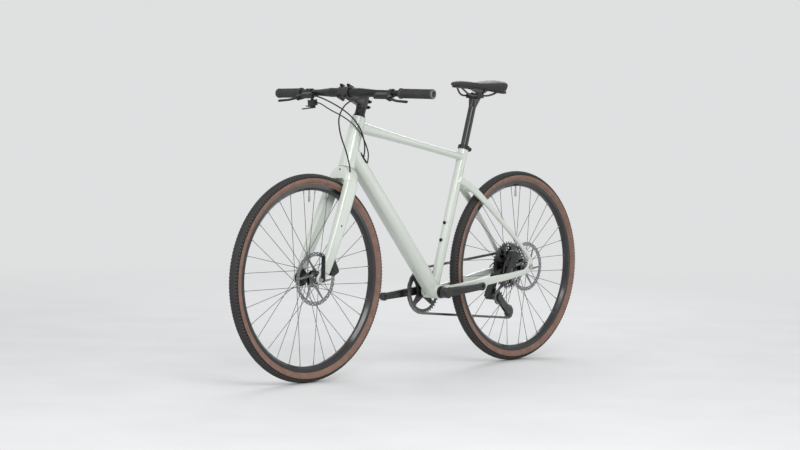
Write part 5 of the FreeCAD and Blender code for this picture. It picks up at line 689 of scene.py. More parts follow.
def painted(piece: Piece, *materials: Material) -> Piece:
    """Gives a piece its materials, in slot order, and leaves each face's slot as it is."""
    slots = piece.data.materials
    for index, material in enumerate(materials):
        if index < len(slots):
            slots[index] = material
        else:
            slots.append(material)
    return piece


def carried(piece: Piece, body: Body, slot: Slot, *nodes: str) -> Piece:
    """Lets a piece ride on a body and stand for CAD nodes.

    Args:
        piece: The finished piece.
        body: The body that it moves with.
        slot: The record's slot for its finish. Not used.
        *nodes: CAD nodes that it replaces.

    Returns:
        The piece.
    """
    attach(piece, body.value)
    if nodes:
        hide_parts(*nodes)
    LOG.info("%s: %d faces", piece.name, len(piece.data.polygons))
    return piece


def merged_copy(frame: dict, names: Iterable[str]) -> Build:
    """Copies CAD nodes into one bmesh with their loose triangles merged."""
    build = bmesh.new()
    for name in names:
        build.from_mesh(frame["nodes"][name].data)
    bmesh.ops.remove_doubles(build, verts=build.verts, dist=WELD_DISTANCE)
    return build


def add_rod(build: Build, start: Vector, end: Vector, radius: float, segments: int = 48) -> None:
    """Adds a closed cylinder between two points to a bmesh."""
    way = end - start
    turn = way.to_track_quat("Z", "Y").to_matrix().to_4x4()
    matrix = Matrix.Translation((start + end) / 2) @ turn
    bmesh.ops.create_cone(
        build,
        cap_ends=True,
        segments=segments,
        radius1=radius,
        radius2=radius,
        depth=way.length,
        matrix=matrix,
    )


def lathe(profile: Outline, segments: int, axle: Vector) -> Build:
    """Turns a closed profile around an axle along +Y, with a UV map in millimetres.

    Args:
        profile: Points as radius and offset along the axle, in metres.
        segments: Steps around the axle.
        axle: The axle's centre.

    Returns:
        The bmesh.
    """
    build = bmesh.new()
    layer = build.loops.layers.uv.new("UVMap")
    rings = []
    for step in range(segments):
        angle = 2.0 * math.pi * step / segments
        way = Vector((math.sin(angle), 0.0, math.cos(angle)))
        places = [axle + way * radius + LEFT * across for radius, across in profile]
        rings.append([build.verts.new(place) for place in places])
    lengths = [0.0]
    for (radius, across), (other, beyond) in zip(profile, profile[1:]):
        lengths.append(lengths[-1] + math.hypot(other - radius, beyond - across) / MM)
    count = len(profile)
    girth = 2.0 * math.pi * max(radius for radius, _ in profile) / MM
    for step in range(segments):
        first, second = rings[step], rings[(step + 1) % segments]
        for index in range(count):
            beyond = (index + 1) % count
            face = build.faces.new((first[index], second[index], second[beyond], first[beyond]))
            start, end = girth * step / segments, girth * (step + 1) / segments
            low = lengths[index]
            high = lengths[index + 1] if index + 1 < count else low
            corners = ((start, low), (end, low), (end, high), (start, high))
            for loop, corner in zip(face.loops, corners):
                loop[layer].uv = corner
    bmesh.ops.recalc_face_normals(build, faces=build.faces)
    return build


def add_pad(build: Build, centre: Point, lean: float, size: Point, taper: float) -> None:
    """Adds one raised block, for a ring around an axle along +Y, to a bmesh.

    Args:
        build: The bmesh.
        centre: Middle of the block, measured from the axle.
        lean: Turn away from straight outwards, in degrees.
        size: Length around, width across and height.
        taper: Share of the foot that the top keeps.
    """
    length, width, height = (value / 2.0 for value in size)
    place = Matrix.Translation(centre) @ Matrix.Rotation(math.radians(lean), 4, "X")
    corners = ((-1, -1), (1, -1), (1, 1), (-1, 1))
    foot, top = [], []
    for row, share, level in ((foot, 1.0, -height), (top, taper, height)):
        for x, y in corners:
            corner = Vector((x * length * share, y * width * share, level))
            row.append(build.verts.new(place @ corner))
    build.faces.new(top)
    for index in range(4):
        after = (index + 1) % 4
        build.faces.new((foot[index], foot[after], top[after], top[index]))
    build.faces.new(list(reversed(foot)))


def add_sweep(build: Build, rings: Sequence[Sequence[Vector]]) -> None:
    """Skins a row of closed rings, with a face over each end."""
    rows = [[build.verts.new(point) for point in ring] for ring in rings]
    count = len(rows[0])
    for first, second in zip(rows, rows[1:]):
        for index in range(count):
            after = (index + 1) % count
            build.faces.new((first[index], first[after], second[after], second[index]))
    build.faces.new(list(reversed(rows[0])))
    build.faces.new(rows[-1])
    bmesh.ops.recalc_face_normals(build, faces=build.faces)


def rounded(piece: Piece, levels: int) -> Piece:
    """Subdivides a piece to a smooth surface."""
    subdivide = piece.modifiers.new("round", "SUBSURF")
    subdivide.levels = levels
    subdivide.render_levels = levels
    return settle(piece)


def hose_tube(name: str, points: Sequence[Point], radius: float) -> Piece:
    """A smooth round hose along a spline whose control points are a route.

    Args:
        name: The piece's name.
        points: The route.
        radius: The hose's radius.

    Returns:
        The hose as a plain mesh.
    """
    curve = bpy.data.curves.new(name, "CURVE")
    curve.dimensions = "3D"
    curve.resolution_u = HOSE_STEPS
    curve.bevel_depth = radius
    curve.bevel_resolution = HOSE_BEVEL
    curve.use_fill_caps = True
    spline = curve.splines.new("NURBS")
    spline.points.add(len(points) - 1)
    for knot, point in zip(spline.points, points):
        knot.co = (*point, 1.0)
    spline.order_u = HOSE_ORDER
    spline.use_endpoint_u = True
    holder = new_piece(name + "_line", curve)
    mesh = final_mesh(holder)
    bpy.data.objects.remove(holder)
    build = bmesh.new()
    build.from_mesh(mesh)
    bmesh.ops.remove_doubles(build, verts=build.verts, dist=WELD_DISTANCE)
    bmesh.ops.recalc_face_normals(build, faces=build.faces)
    return piece_from(name, build)


class RingOfCopies:
    """A Geometry Nodes tree that repeats its object's own mesh around an axle along +Y."""

    def __init__(self) -> None:
        """Builds the tree with its named inputs."""
        self.tree = bpy.data.node_groups.new("ring_of_copies", "GeometryNodeTree")
        face = self.tree.interface
        face.new_socket(name="Geometry", in_out="OUTPUT", socket_type="NodeSocketGeometry")
        self.inputs: dict[str, str] = {}
        for name, kind in (
            ("Piece", "NodeSocketGeometry"),
            ("Count", "NodeSocketInt"),
            ("Axle", "NodeSocketVector"),
            ("Start angle", "NodeSocketFloat"),
            ("Finish", "NodeSocketMaterial"),
        ):
            socket = face.new_socket(name=name, in_out="INPUT", socket_type=kind)
            self.inputs[name] = socket.identifier
        nodes = self.tree.nodes
        entry = nodes.new("NodeGroupInput")
        leave = nodes.new("NodeGroupOutput")
        points = nodes.new("GeometryNodePoints")
        index = nodes.new("GeometryNodeInputIndex")
        step = nodes.new("ShaderNodeMath")
        step.operation = "DIVIDE"
        step.inputs[0].default_value = 2.0 * math.pi
        angle = nodes.new("ShaderNodeMath")
        angle.operation = "MULTIPLY_ADD"
        turn = nodes.new("ShaderNodeCombineXYZ")
        rotation = nodes.new("FunctionNodeEulerToRotation")
        copies = nodes.new("GeometryNodeInstanceOnPoints")
        realize = nodes.new("GeometryNodeRealizeInstances")
        paint = nodes.new("GeometryNodeSetMaterial")
        for source, output, target, entrance in (
            (entry, "Count", points, "Count"),
            (entry, "Axle", points, "Position"),
            (entry, "Count", step, 1),
            (index, "Index", angle, 0),
            (step, "Value", angle, 1),
            (entry, "Start angle", angle, 2),
            (angle, "Value", turn, "Y"),
            (turn, "Vector", rotation, "Euler"),
            (points, "Points", copies, "Points"),
            (entry, "Piece", copies, "Instance"),
            (rotation, "Rotation", copies, "Rotation"),
            (copies, "Instances", realize, "Geometry"),
            (realize, "Geometry", paint, "Geometry"),
            (entry, "Finish", paint, "Material"),
            (paint, "Geometry", leave, "Geometry"),
        ):
            self.tree.links.new(source.outputs[output], target.inputs[entrance])

    def spread(
        self, piece: Piece, count: int, axle: Vector, start: float, finish: Material
    ) -> Piece:
        """Repeats a piece and leaves a plain mesh.

        Args:
            piece: An object whose mesh is one copy, measured from the axle.
            count: Number of copies.
            axle: The axle's centre.
            start: Angle of the first copy, in degrees.
            finish: Material for all copies.

        Returns:
            The piece with all copies in its mesh.
        """
        modifier = piece.modifiers.new("ring", "NODES")
        modifier.node_group = self.tree
        modifier[self.inputs["Count"]] = count
        modifier[self.inputs["Axle"]] = tuple(axle)
        modifier[self.inputs["Start angle"]] = math.radians(start)
        modifier[self.inputs["Finish"]] = finish
        return settle(piece)


def joined(name: str, pieces: Sequence[Piece]) -> Piece:
    """Joins pieces into one object, keeping each face's material."""
    materials: list[Material] = []
    build = bmesh.new()
    for piece in pieces:
        slots = []
        for material in piece.data.materials:
            if material not in materials:
                materials.append(material)
            slots.append(materials.index(material))
        before = len(build.faces)
        build.from_mesh(piece.data)
        build.faces.ensure_lookup_table()
        for face in build.faces[before:]:
            face.material_index = slots[face.material_index] if slots else 0
    whole = piece_from(name, build)
    painted(whole, *materials)
    for piece in pieces:
        bpy.data.objects.remove(piece)
    return whole


# Studio


@dataclass
class Studio:
    """A plain pale floor, soft lamps and the camera."""

    floor_radius: float = 60.0
    floor_segments: int = 96
    floor_roughness: float = 0.7
    floor_dark: Colour = (0.70, 0.705, 0.71)
    speck_scale: float = 3.0
    fade_start: float = 1.2
    fade_end: float = 5.5
    backdrop: Colour = (0.74, 0.745, 0.75)
    daylight: Colour = (0.62, 0.625, 0.63)
    eye: Point = (5.57350, 5.07232, 0.89385)
    look: Point = (-0.73321, -0.67811, -0.05064)
    roll: float = 0.918
    lens: float = 96.81
    sensor: float = 36.0
    sight: float = 200.0
    aim: Point = (0.0, 0.0, 0.5)
    boxes: tuple[tuple[str, Point, float, float], ...] = (
        ("key_box", (2.2, 3.4, 3.4), 2.4, 95.0),
        ("front_box", (4.6, 0.2, 2.2), 2.0, 45.0),
        ("rear_box", (-3.2, -2.4, 3.0), 2.6, 55.0),
        ("side_box", (-2.9, 3.1, 1.1), 1.6, 9.0),
    )

    def build(self) -> None:
        """Makes the stage, the lamps and the camera."""
        self.build_world()
        self.build_floor()
        self.build_lamps()
        self.build_camera()

    def build_world(self) -> None:
        """Sets a plain pale world and the plain view transform."""
        scene = bpy.context.scene
        scene.view_settings.view_transform = "Standard"
        world = bpy.data.worlds.new("studio")
        world.use_nodes = True
        tree = world.node_tree
        back = tree.nodes["Background"]
        rays = tree.nodes.new("ShaderNodeLightPath")
        shown = rays.outputs["Is Camera Ray"]
        for other in ("Is Glossy Ray", "Is Transmission Ray"):
            either = tree.nodes.new("ShaderNodeMath")
            either.operation = "MAXIMUM"
            tree.links.new(shown, either.inputs[0])
            tree.links.new(rays.outputs[other], either.inputs[1])
            shown = either.outputs["Value"]
        seen = tree.nodes.new("ShaderNodeMix")
        seen.data_type = "RGBA"
        seen.inputs["A"].default_value = (*self.daylight, 1.0)
        seen.inputs["B"].default_value = (*self.backdrop, 1.0)
        tree.links.new(shown, seen.inputs["Factor"])
        tree.links.new(seen.outputs["Result"], back.inputs["Color"])
        scene.world = world

    def build_floor(self) -> None:
        """Makes a round floor that fades into the backdrop far away."""
        build = bmesh.new()
        bmesh.ops.create_circle(
            build, cap_ends=True, segments=self.floor_segments, radius=self.floor_radius
        )
        floor = piece_from("floor", build)
        graph = Graph("pale_floor")
        graph.set(Roughness=self.floor_roughness)
        vector = graph.place()
        length = graph.add("ShaderNodeVectorMath")
        length.operation = "LENGTH"
        graph.link(vector, length.inputs[0])
        speck = graph.noise(vector, self.speck_scale)
        tone = graph.ramp(speck, self.floor_dark, self.backdrop, GREY_LOW, GREY_HIGH)
        graph.link(tone, graph.shader.inputs["Base Color"])
        fade = graph.add("ShaderNodeMapRange", From_Min=self.fade_start, From_Max=self.fade_end)
        fade.interpolation_type = "SMOOTHSTEP"
        graph.link(length.outputs["Value"], fade.inputs["Value"])
        glow = graph.add("ShaderNodeEmission", Color=(*self.backdrop, 1.0), Strength=1.0)
        mix = graph.add("ShaderNodeMixShader")
        graph.link(fade.outputs["Result"], mix.inputs["Fac"])
        graph.link(graph.shader.outputs["BSDF"], mix.inputs[1])
        graph.link(glow.outputs["Emission"], mix.inputs[2])
        output = graph.tree.nodes["Material Output"]
        graph.link(mix.outputs["Shader"], output.inputs["Surface"])
        painted(floor, graph.material)

    def build_lamps(self) -> None:
        """Hangs the soft boxes around the bike, each given by name, place, size and power."""
        for name, place, size, power in self.boxes:
            lamp = bpy.data.lights.new(name, "AREA")
            lamp.size = size
            lamp.energy = power
            holder = new_piece(name, lamp)
            holder.location = place
            way = Vector(self.aim) - Vector(place)
            holder.rotation_euler = way.to_track_quat("-Z", "Y").to_euler()

    def build_camera(self) -> None:
        """Sets the camera where the photograph was taken from."""
        data = bpy.data.cameras.new("camera")
        data.sensor_width = self.sensor
        data.lens = self.lens
        data.clip_end = self.sight
        forward = unit(self.look)
        right = unit(forward.cross(UP))
        up = right.cross(forward)
        angle = math.radians(self.roll)
        side = right * math.cos(angle) + up * math.sin(angle)
        top = up * math.cos(angle) - right * math.sin(angle)
        camera = new_piece("camera", data)
        turn = Matrix((side, top, -forward)).transposed()
        camera.matrix_world = Matrix.Translation(self.eye) @ turn.to_4x4()
        bpy.context.scene.camera = camera


# Frame and fork


@dataclass
class WeldedFrame:
    """The aluminium frame: its tubes melted together with smoothed welds, then bored again."""

    layout: Layout
    voxel: float = 0.0019
    rounds: int = 24
    head_start: float = 0.403
    head_length: float = 0.182
    head_bore: float = 0.0175
    seat_length: float = 0.533
    seat_bore: float = 0.0138
    seat_bore_start: float = 0.25
    bracket_half: float = 0.0365
    bracket_bore: float = 0.0174
    overrun: float = 0.012
    fill_voxels: float = 2.0
    crease: float = 40.0
    tubes: tuple[str, ...] = (
        "head_tube",
        "top_tube",
        "down_tube",
        "seat_tube",
        "bottom_bracket_shell",
        "chainstays",
        "seatstays",
        "dropouts",
    )

    def bores(self, overrun: float) -> list[Bore]:
        """The frame's bores.

        Args:
            overrun: How far each runs past its tube's end.

        Returns:
            Each bore's start, end and radius.
        """
        place = self.layout
        low = place.on_steerer(self.head_start - overrun)
        high = place.on_steerer(self.head_start + self.head_length + overrun)
        seat_low = place.bracket + place.seat_up * self.seat_bore_start
        seat_high = place.bracket + place.seat_up * (self.seat_length + overrun)
        reach = LEFT * (self.bracket_half + overrun)
        return [
            (low, high, self.head_bore),
            (seat_low, seat_high, self.seat_bore),
            (place.bracket - reach, place.bracket + reach, self.bracket_bore),
        ]

    def build(self, frame: dict, finish: Material) -> None:
        """Makes the welded frame.

        Args:
            frame: The loaded frame.
            finish: The paint.
        """
        build = merged_copy(frame, self.tubes)
        for start, end, radius in self.bores(0.0):
            add_rod(build, start, end, radius + self.fill_voxels * self.voxel)
        piece = melted("welded_frame", build, self.voxel, self.rounds)
        cutter = bmesh.new()
        for start, end, radius in self.bores(self.overrun):
            add_rod(cutter, start, end, radius)
        bored(piece, cutter)
        painted(smooth(piece, self.crease), finish)
        carried(piece, Body.FRAME, Slot.PAINT, *self.tubes)


def melted(name: str, build: Build, voxel: float, rounds: int) -> Piece:
    """Joins closed shapes into one skin and softens where they meet.

    Args:
        name: The piece's name.
        build: Closed shapes that overlap or touch.
        voxel: Grain of the skin, in metres.
        rounds: Rounds of smoothing.

    Returns:
        The piece.
    """
    piece = piece_from(name, build)
    remesh = piece.modifiers.new("melt", "REMESH")
    remesh.mode = "VOXEL"
    remesh.voxel_size = voxel
    return relaxed(settle(piece), rounds)


def relaxed(piece: Piece, rounds: int, pull: float = 0.5, push: float = -0.526) -> Piece:
    """Softens a skin without thinning it, by turns of pulling in and pushing out.

    Args:
        piece: The piece.
        rounds: Number of turns.
        pull: Share of the way to the neighbours' middle that a point moves first.
        push: The same, for the way back out.

    Returns:
        The piece.
    """
    mesh = piece.data
    count = len(mesh.vertices)
    places = np.empty(count * 3)
    mesh.vertices.foreach_get("co", places)
    places = places.reshape(-1, 3)
    ends = np.empty(len(mesh.edges) * 2, dtype=np.int64)
    mesh.edges.foreach_get("vertices", ends)
    first, second = ends[0::2], ends[1::2]
    near = np.maximum(np.bincount(ends, minlength=count), 1)[:, None]
    for _ in range(rounds):
        for share in (pull, push):
            total = np.empty_like(places)
            for axis in range(3):
                column = places[:, axis]
                total[:, axis] = np.bincount(first, column[second], count)
                total[:, axis] += np.bincount(second, column[first], count)
            places = places + (total / near - places) * share
    mesh.vertices.foreach_set("co", places.ravel())
    mesh.update()
    return piece


def bored(piece: Piece, cutter: Build, lining: Material | None = None) -> None:
    """Cuts closed shapes out of a piece.

    Args:
        piece: The piece.
        cutter: The closed shapes.
        lining: A material for the cut faces, if they differ from the piece.
    """
    tool = piece_from("bore_tool", cutter)
    cut = piece.modifiers.new("bore", "BOOLEAN")
    cut.operation = "DIFFERENCE"
    cut.solver = "EXACT"
    cut.object = tool
    if lining:
        painted(tool, lining)
        cut.material_mode = "TRANSFER"
    settle(piece)
    bpy.data.objects.remove(tool)


@dataclass
class WeldedFork:
    """The fork's crown and legs as one smooth casting."""

    layout: Layout
    voxel: float = 0.0017
    rounds: int = 24
    eyelet_along: float = 0.195
    eyelet_forward: float = 0.017
    eyelet_radius: float = 0.0034
    eyelet_inner: float = 0.053
    eyelet_outer: float = 0.07
    crown_along: float = 0.3892
    crown_radius: float = 0.0034
    crown_inner: float = 0.021
    crown_outer: float = 0.04
    hole_segments: int = 24
    crease: float = 40.0

    def holes(self) -> list[Bore]:
        """The start, end and radius of each threaded hole in the legs and the crown."""
        point = self.layout.on_steerer
        rows = []
        for side in Side:
            ways = [side.value * left for left in (self.eyelet_inner, self.eyelet_outer)]
            ends = [point(self.eyelet_along, self.eyelet_forward, left) for left in ways]
            rows.append((*ends, self.eyelet_radius))
        ways = (self.crown_inner, self.crown_outer)
        rows.append((*(point(self.crown_along, forward) for forward in ways), self.crown_radius))
        return rows

    def build(self, frame: dict, finish: Material, lining: Material) -> None:
        """Makes the fork.

        Args:
            frame: The loaded frame.
            finish: The paint.
            lining: The near-black lining of the threaded holes, painted shade inside them.
        """
        nodes = ("fork_crown", "fork_legs")
        piece = melted("welded_fork", merged_copy(frame, nodes), self.voxel, self.rounds)
        painted(smooth(piece, self.crease), finish, lining)
        cutter = bmesh.new()
        for start, end, radius in self.holes():
            add_rod(cutter, start, end, radius, self.hole_segments)
        # The holes' walls take the near-black lining: painted shade inside the holes.
        bored(piece, cutter, lining)
        carried(smooth(piece, self.crease), Body.FORK, Slot.PAINT, *nodes)


# Wheels


@dataclass
class Tyre:
    """A tan-walled tyre with a file tread and side knobs."""

    prefix: str
    body: Body
    axle: Vector
    ring: RingOfCopies
    bead_radius: float = 0.3108
    bead_half: float = 0.0117
    flange_radius: float = 0.3176
    widest_radius: float = 0.329
    widest_half: float = 0.0204
    wall_round: float = 0.0125
    tread_radius: float = 0.3342
    knob_radius: float = 0.3428
    shoulder_radius: float = 0.3366
    shoulder_half: float = 0.0168
    crown_radius: float = 0.3483
    wall: float = 0.0026
    flange_swell: float = 0.0008
    bead_strip: float = 0.004
    wall_start: float = 0.34
    wall_sweep: float = 0.64
    wall_height: float = 0.98
    wall_bulge: float = 0.75
    wall_steps: int = 8
    crown_steps: int = 12
    lining_share: float = 0.86
    segments: int = 200
    block_taper: float = 0.8
    knobs: int = 184
    knob_angle: float = 17.0
    knob_size: Point = (0.0056, 0.0064, 0.0034)
    knob_rise: float = 0.0014
    file_rows: int = 320
    file_half: int = 4
    file_step: float = 0.0029
    file_shift: float = 0.0017
    file_size: Point = (0.0046, 0.0023, 0.0016)
    file_rise: float = 0.0005
    crease: float = 32.0

    def outline(self) -> Outline:
        """The left half of the outside, from bead to crown."""
        flange_half = self.bead_half + self.flange_swell
        half = [(self.bead_radius, self.bead_half), (self.flange_radius, flange_half)]
        for step in range(1, self.wall_steps + 1):
            angle = math.pi * (self.wall_start - self.wall_sweep * step / self.wall_steps)
            radius = self.widest_radius - self.wall_round * math.sin(angle) * self.wall_height
            across = self.widest_half - self.wall_round * (1.0 - math.cos(angle)) * self.wall_bulge
            half.append((radius, across))
        for step in range(1, self.crown_steps + 1):
            angle = math.pi / 2.0 * step / self.crown_steps
            half.append((self.radius_at(angle), self.shoulder_half * math.cos(angle)))
        return half

    def radius_at(self, angle: float) -> float:
        """The crown's radius at an angle up from the shoulder, in radians."""
        return self.shoulder_radius + (self.crown_radius - self.shoulder_radius) * math.sin(angle)

    def add_block(self, build: Build, angle: float, shift: float, size: Point, rise: float) -> None:
        """Adds one tread block that stands square on the crown.

        Args:
            build: The bmesh.
            angle: Place on the crown, up from the left shoulder, in radians.
            shift: Place around the tyre, in metres.
            size: Length around, width across and height.
            rise: How far its top stands out of the crown.
        """
        out = math.cos(angle) / self.shoulder_half
        up = math.sin(angle) / (self.crown_radius - self.shoulder_radius)
        lean = math.atan2(out, up)
        sink = rise - size[2] / 2.0
        across = self.shoulder_half * math.cos(angle) + sink * math.sin(lean)
        radius = self.radius_at(angle) + sink * math.cos(lean)
        add_pad(build, (shift, across, radius), -math.degrees(lean), size, self.block_taper)

    def slot_at(self, radius: float) -> int:
        """The material slot at a distance from the axle: tread, casing or the painted shade of the
        knob band.
        """
        if radius > self.knob_radius or radius < self.flange_radius - self.bead_strip:
            return 0
        return 2 if radius > self.tread_radius else 1

    def build(self, finishes: dict[str, Material]) -> None:
        """Makes the tyre.

        Args:
            finishes: Every material, by its finish's field name.
        """
        # The side knobs take a lighter copy of the tread rubber: a painted highlight on their
        # faces.
        tread, knob = finishes["tread"], finishes["knob"]
        half = self.outline()
        outside = half + [(radius, -across) for radius, across in reversed(half[:-1])]
        wall, share = self.wall, self.lining_share
        inside = [(radius - wall, across * share) for radius, across in reversed(outside[2:-2])]
        build = lathe(outside + inside, self.segments, self.axle)
        for face in build.faces:
            middle = face.calc_center_median() - self.axle
            face.material_index = self.slot_at(math.hypot(middle.x, middle.z))
        carcass = piece_from(self.prefix + "_carcass", build)
        # The band around the side knobs takes the near-black rubber: painted shade between the
        # knobs.
        painted(carcass, tread, finishes["casing"], finishes["groove"])
        parts = [carcass, self.file_tread(tread)] + [self.side_knobs(side, knob) for side in Side]
        piece = smooth(joined(self.prefix + "_tyre_dressed", parts), self.crease)
        carried(piece, self.body, Slot.TYRE, self.prefix + "_tyre")

    def side_knobs(self, side: Side, finish: Material) -> Piece:
        """The row of shoulder knobs on one side."""
        build = bmesh.new()
        angle = math.radians(self.knob_angle)
        place = angle if side is Side.LEFT else math.pi - angle
        self.add_block(build, place, 0.0, self.knob_size, self.knob_rise)
        block = painted(piece_from(f"{self.prefix}_knobs_{side.name.lower()}", build), finish)
        start = 0.0 if side is Side.LEFT else 180.0 / self.knobs
        return self.ring.spread(block, self.knobs, self.axle, start, finish)

    def file_tread(self, tread: Material) -> Piece:
        """The fine centre tread in rows of small blocks."""
        build = bmesh.new()
        for index in range(-self.file_half, self.file_half + 1):
            angle = math.acos(index * self.file_step / self.shoulder_half)
            shift = self.file_shift if index % 2 else 0.0
            self.add_block(build, angle, shift, self.file_size, self.file_rise)
        row = painted(piece_from(self.prefix + "_file", build), tread)
        return self.ring.spread(row, self.file_rows, self.axle, 0.0, tread)


# Cockpit and seat


@dataclass
class Grips:
    """Both rubber grips: an end collar, three fields of small pads and an inner flange."""

    layout: Layout
    ring: RingOfCopies
    length: float = 0.132
    radius: float = 0.0152
    head: tuple[tuple[float, float], ...] = (
        (0.0114, 0.0),
        (0.0159, 0.0),
        (0.0167, -0.0008),
        (0.0167, -0.0052),
        (0.0156, -0.0064),
        (0.0152, -0.008),
    )
    tail: tuple[tuple[float, float], ...] = (
        (0.0152, 0.0085),
        (0.0158, 0.0078),
        (0.0172, 0.0068),
        (0.0178, 0.006),
        (0.0178, 0.001),
        (0.0168, 0.0),
        (0.0114, 0.0),
    )
    plug_rows: tuple[tuple[float, float], ...] = (
        (0.0002, -0.0012),
        (0.0074, -0.0010),
        (0.0088, 0.0004),
        (0.0098, 0.0024),
        (0.0108, 0.0030),
        (0.0140, 0.0030),
        (0.0154, 0.0022),
        (0.0159, 0.0010),
        (0.0158, 0.0),
        (0.0087, -0.0002),
        (0.0086, -0.0080),
        (0.0002, -0.0080),
    )
    swell: float = 0.0004
    swell_steps: int = 10
    segments: int = 56
    plug_segments: int = 48
    pads: int = 22
    pad_size: Point = (0.0031, 0.0033, 0.0012)
    pad_lift: float = 0.0003
    pad_taper: float = 0.7
    row_step: float = 0.0042
    row_start: float = 0.0105
    rows_per_field: int = 8
    fields: int = 3
    field_gap: float = 0.0042
    ring_inner: float = 0.0100
    crease: float = 40.0

    def outline(self) -> Outline:
        """The turned section, from the outer end inwards."""
        start, end = self.head[-1][1], -self.length
        outside = list(self.head)
        for step in range(1, self.swell_steps):
            share = step / self.swell_steps
            swell = self.swell * math.sin(math.pi * share)
            outside.append((self.radius + swell, start + (end - 2.0 * start) * share))
        return outside + [(radius, end + offset) for radius, offset in self.tail]

    def pad_rows(self, odd: int, finish: Material) -> Piece:
        """Every other row of pads, from the outer end inwards."""
        build = bmesh.new()
        for field in range(self.fields):
            for row in range(odd, self.rows_per_field, 2):
                index = field * self.rows_per_field + row
                along = -self.row_start - index * self.row_step - field * self.field_gap
                centre = (0.0, along, self.radius + self.pad_lift)
                add_pad(build, centre, 0.0, self.pad_size, self.pad_taper)
        rows = painted(piece_from(f"grip_pads_{odd}", build), finish)
        start = 180.0 / self.pads * odd
        return self.ring.spread(rows, self.pads, ORIGIN, start, finish)

    def plug(self, ring: Material, dish: Material) -> Piece:
        """The dished plug in the bar's end, with a bright ring around it."""
        build = lathe(list(self.plug_rows), self.plug_segments, ORIGIN)
        for face in build.faces:
            middle = face.calc_center_median()
            face.material_index = int(math.hypot(middle.x, middle.z) < self.ring_inner)
        return painted(piece_from("bar_plug", build), ring, dish)

    def one(self, side: Side, finish: Material, *caps: Material) -> Piece:
        """One grip with its plug, on its end of the bar."""
        sleeve = piece_from("grip_sleeve", lathe(self.outline(), self.segments, ORIGIN))
        painted(sleeve, finish)
        parts = [sleeve, self.plug(*caps), self.pad_rows(0, finish), self.pad_rows(1, finish)]
        grip = joined(f"grip_{side.name.lower()}", parts)
        turn = LEFT.rotation_difference(self.layout.bar_way(side)).to_matrix()
        grip.data.transform(Matrix.Translation(self.layout.bar_end(side)) @ turn.to_4x4())
        return grip

    def build(self, finish: Material, ring: Material, dish: Material) -> None:
        """Makes both grips.

        Args:
            finish: The rubber.
            ring: The plugs' bright ring.
            dish: The plugs' plastic.
        """
        piece = joined("grips_moulded", [self.one(side, finish, ring, dish) for side in Side])
        carried(smooth(piece, self.crease), Body.FORK, Slot.GRIP, "grips")


@dataclass
class BrakeLever:
    """One lever blade: an eye at its pivot, a bend forward and a thickened tip.

    Its stations are rows of out, forward, half width and half thickness from the pivot, in
    millimetres.
    """

    layout: Layout
    side: Side
    from_end: float = 0.160
    pivot_out: float = 0.010
    pivot_forward: float = 0.036
    ring_points: int = 14
    squareness: float = 0.75
    levels: int = 2
    crease: float = 60.0
    stations: tuple[tuple[float, float, float, float], ...] = (
        (-6.4, -3.1, 2.0, 2.6),
        (-4.9, -2.4, 4.6, 4.2),
        (0.0, 0.0, 6.3, 4.4),
        (8.0, 4.1, 5.7, 4.3),
        (19.0, 9.9, 4.7, 4.0),
        (28.0, 14.3, 4.3, 3.9),
        (36.0, 17.0, 4.3, 3.9),
        (48.0, 18.5, 4.4, 4.0),
        (60.0, 19.8, 4.6, 4.1),
        (71.0, 21.0, 5.0, 4.2),
        (78.0, 21.8, 5.4, 4.3),
        (83.0, 22.3, 5.0, 3.9),
        (85.3, 22.5, 2.6, 2.2),
    )

    def squared(self, value: float) -> float:
        """A sine or cosine pushed outwards, which squares a round section a little."""
        return math.copysign(abs(value) ** self.squareness, value)

    def build(self, finish: Material) -> None:
        """Makes the blade.

        Args:
            finish: The blade's coating.
        """
        axes = ControlAxes(self.layout, self.side)
        pivot = self.layout.bar_end(self.side) + axes.out * (self.pivot_out - self.from_end)
        pivot += axes.forward * self.pivot_forward
        rows = self.stations
        rings = []
        for index, (out, forward, width, thickness) in enumerate(rows):
            before = rows[max(index - 1, 0)]
            after = rows[min(index + 1, len(rows) - 1)]
            way = unit(axes.out * (after[0] - before[0]) + axes.forward * (after[1] - before[1]))
            across = unit(way.cross(axes.up))
            centre = pivot + (axes.out * out + axes.forward * forward) * MM
            ring = []
            for step in range(self.ring_points):
                angle = 2.0 * math.pi * step / self.ring_points
                wide, tall = self.squared(math.cos(angle)), self.squared(math.sin(angle))
                ring.append(centre + (across * wide * width + axes.up * tall * thickness) * MM)
            rings.append(ring)
        build = bmesh.new()
        add_sweep(build, rings)
        name = self.side.name.lower()
        piece = rounded(piece_from(f"brake_blade_{name}", build), self.levels)
        painted(smooth(piece, self.crease), finish)
        carried(piece, Body(f"{name}_lever"), Slot.ALLOY, f"brake_lever_{name}")


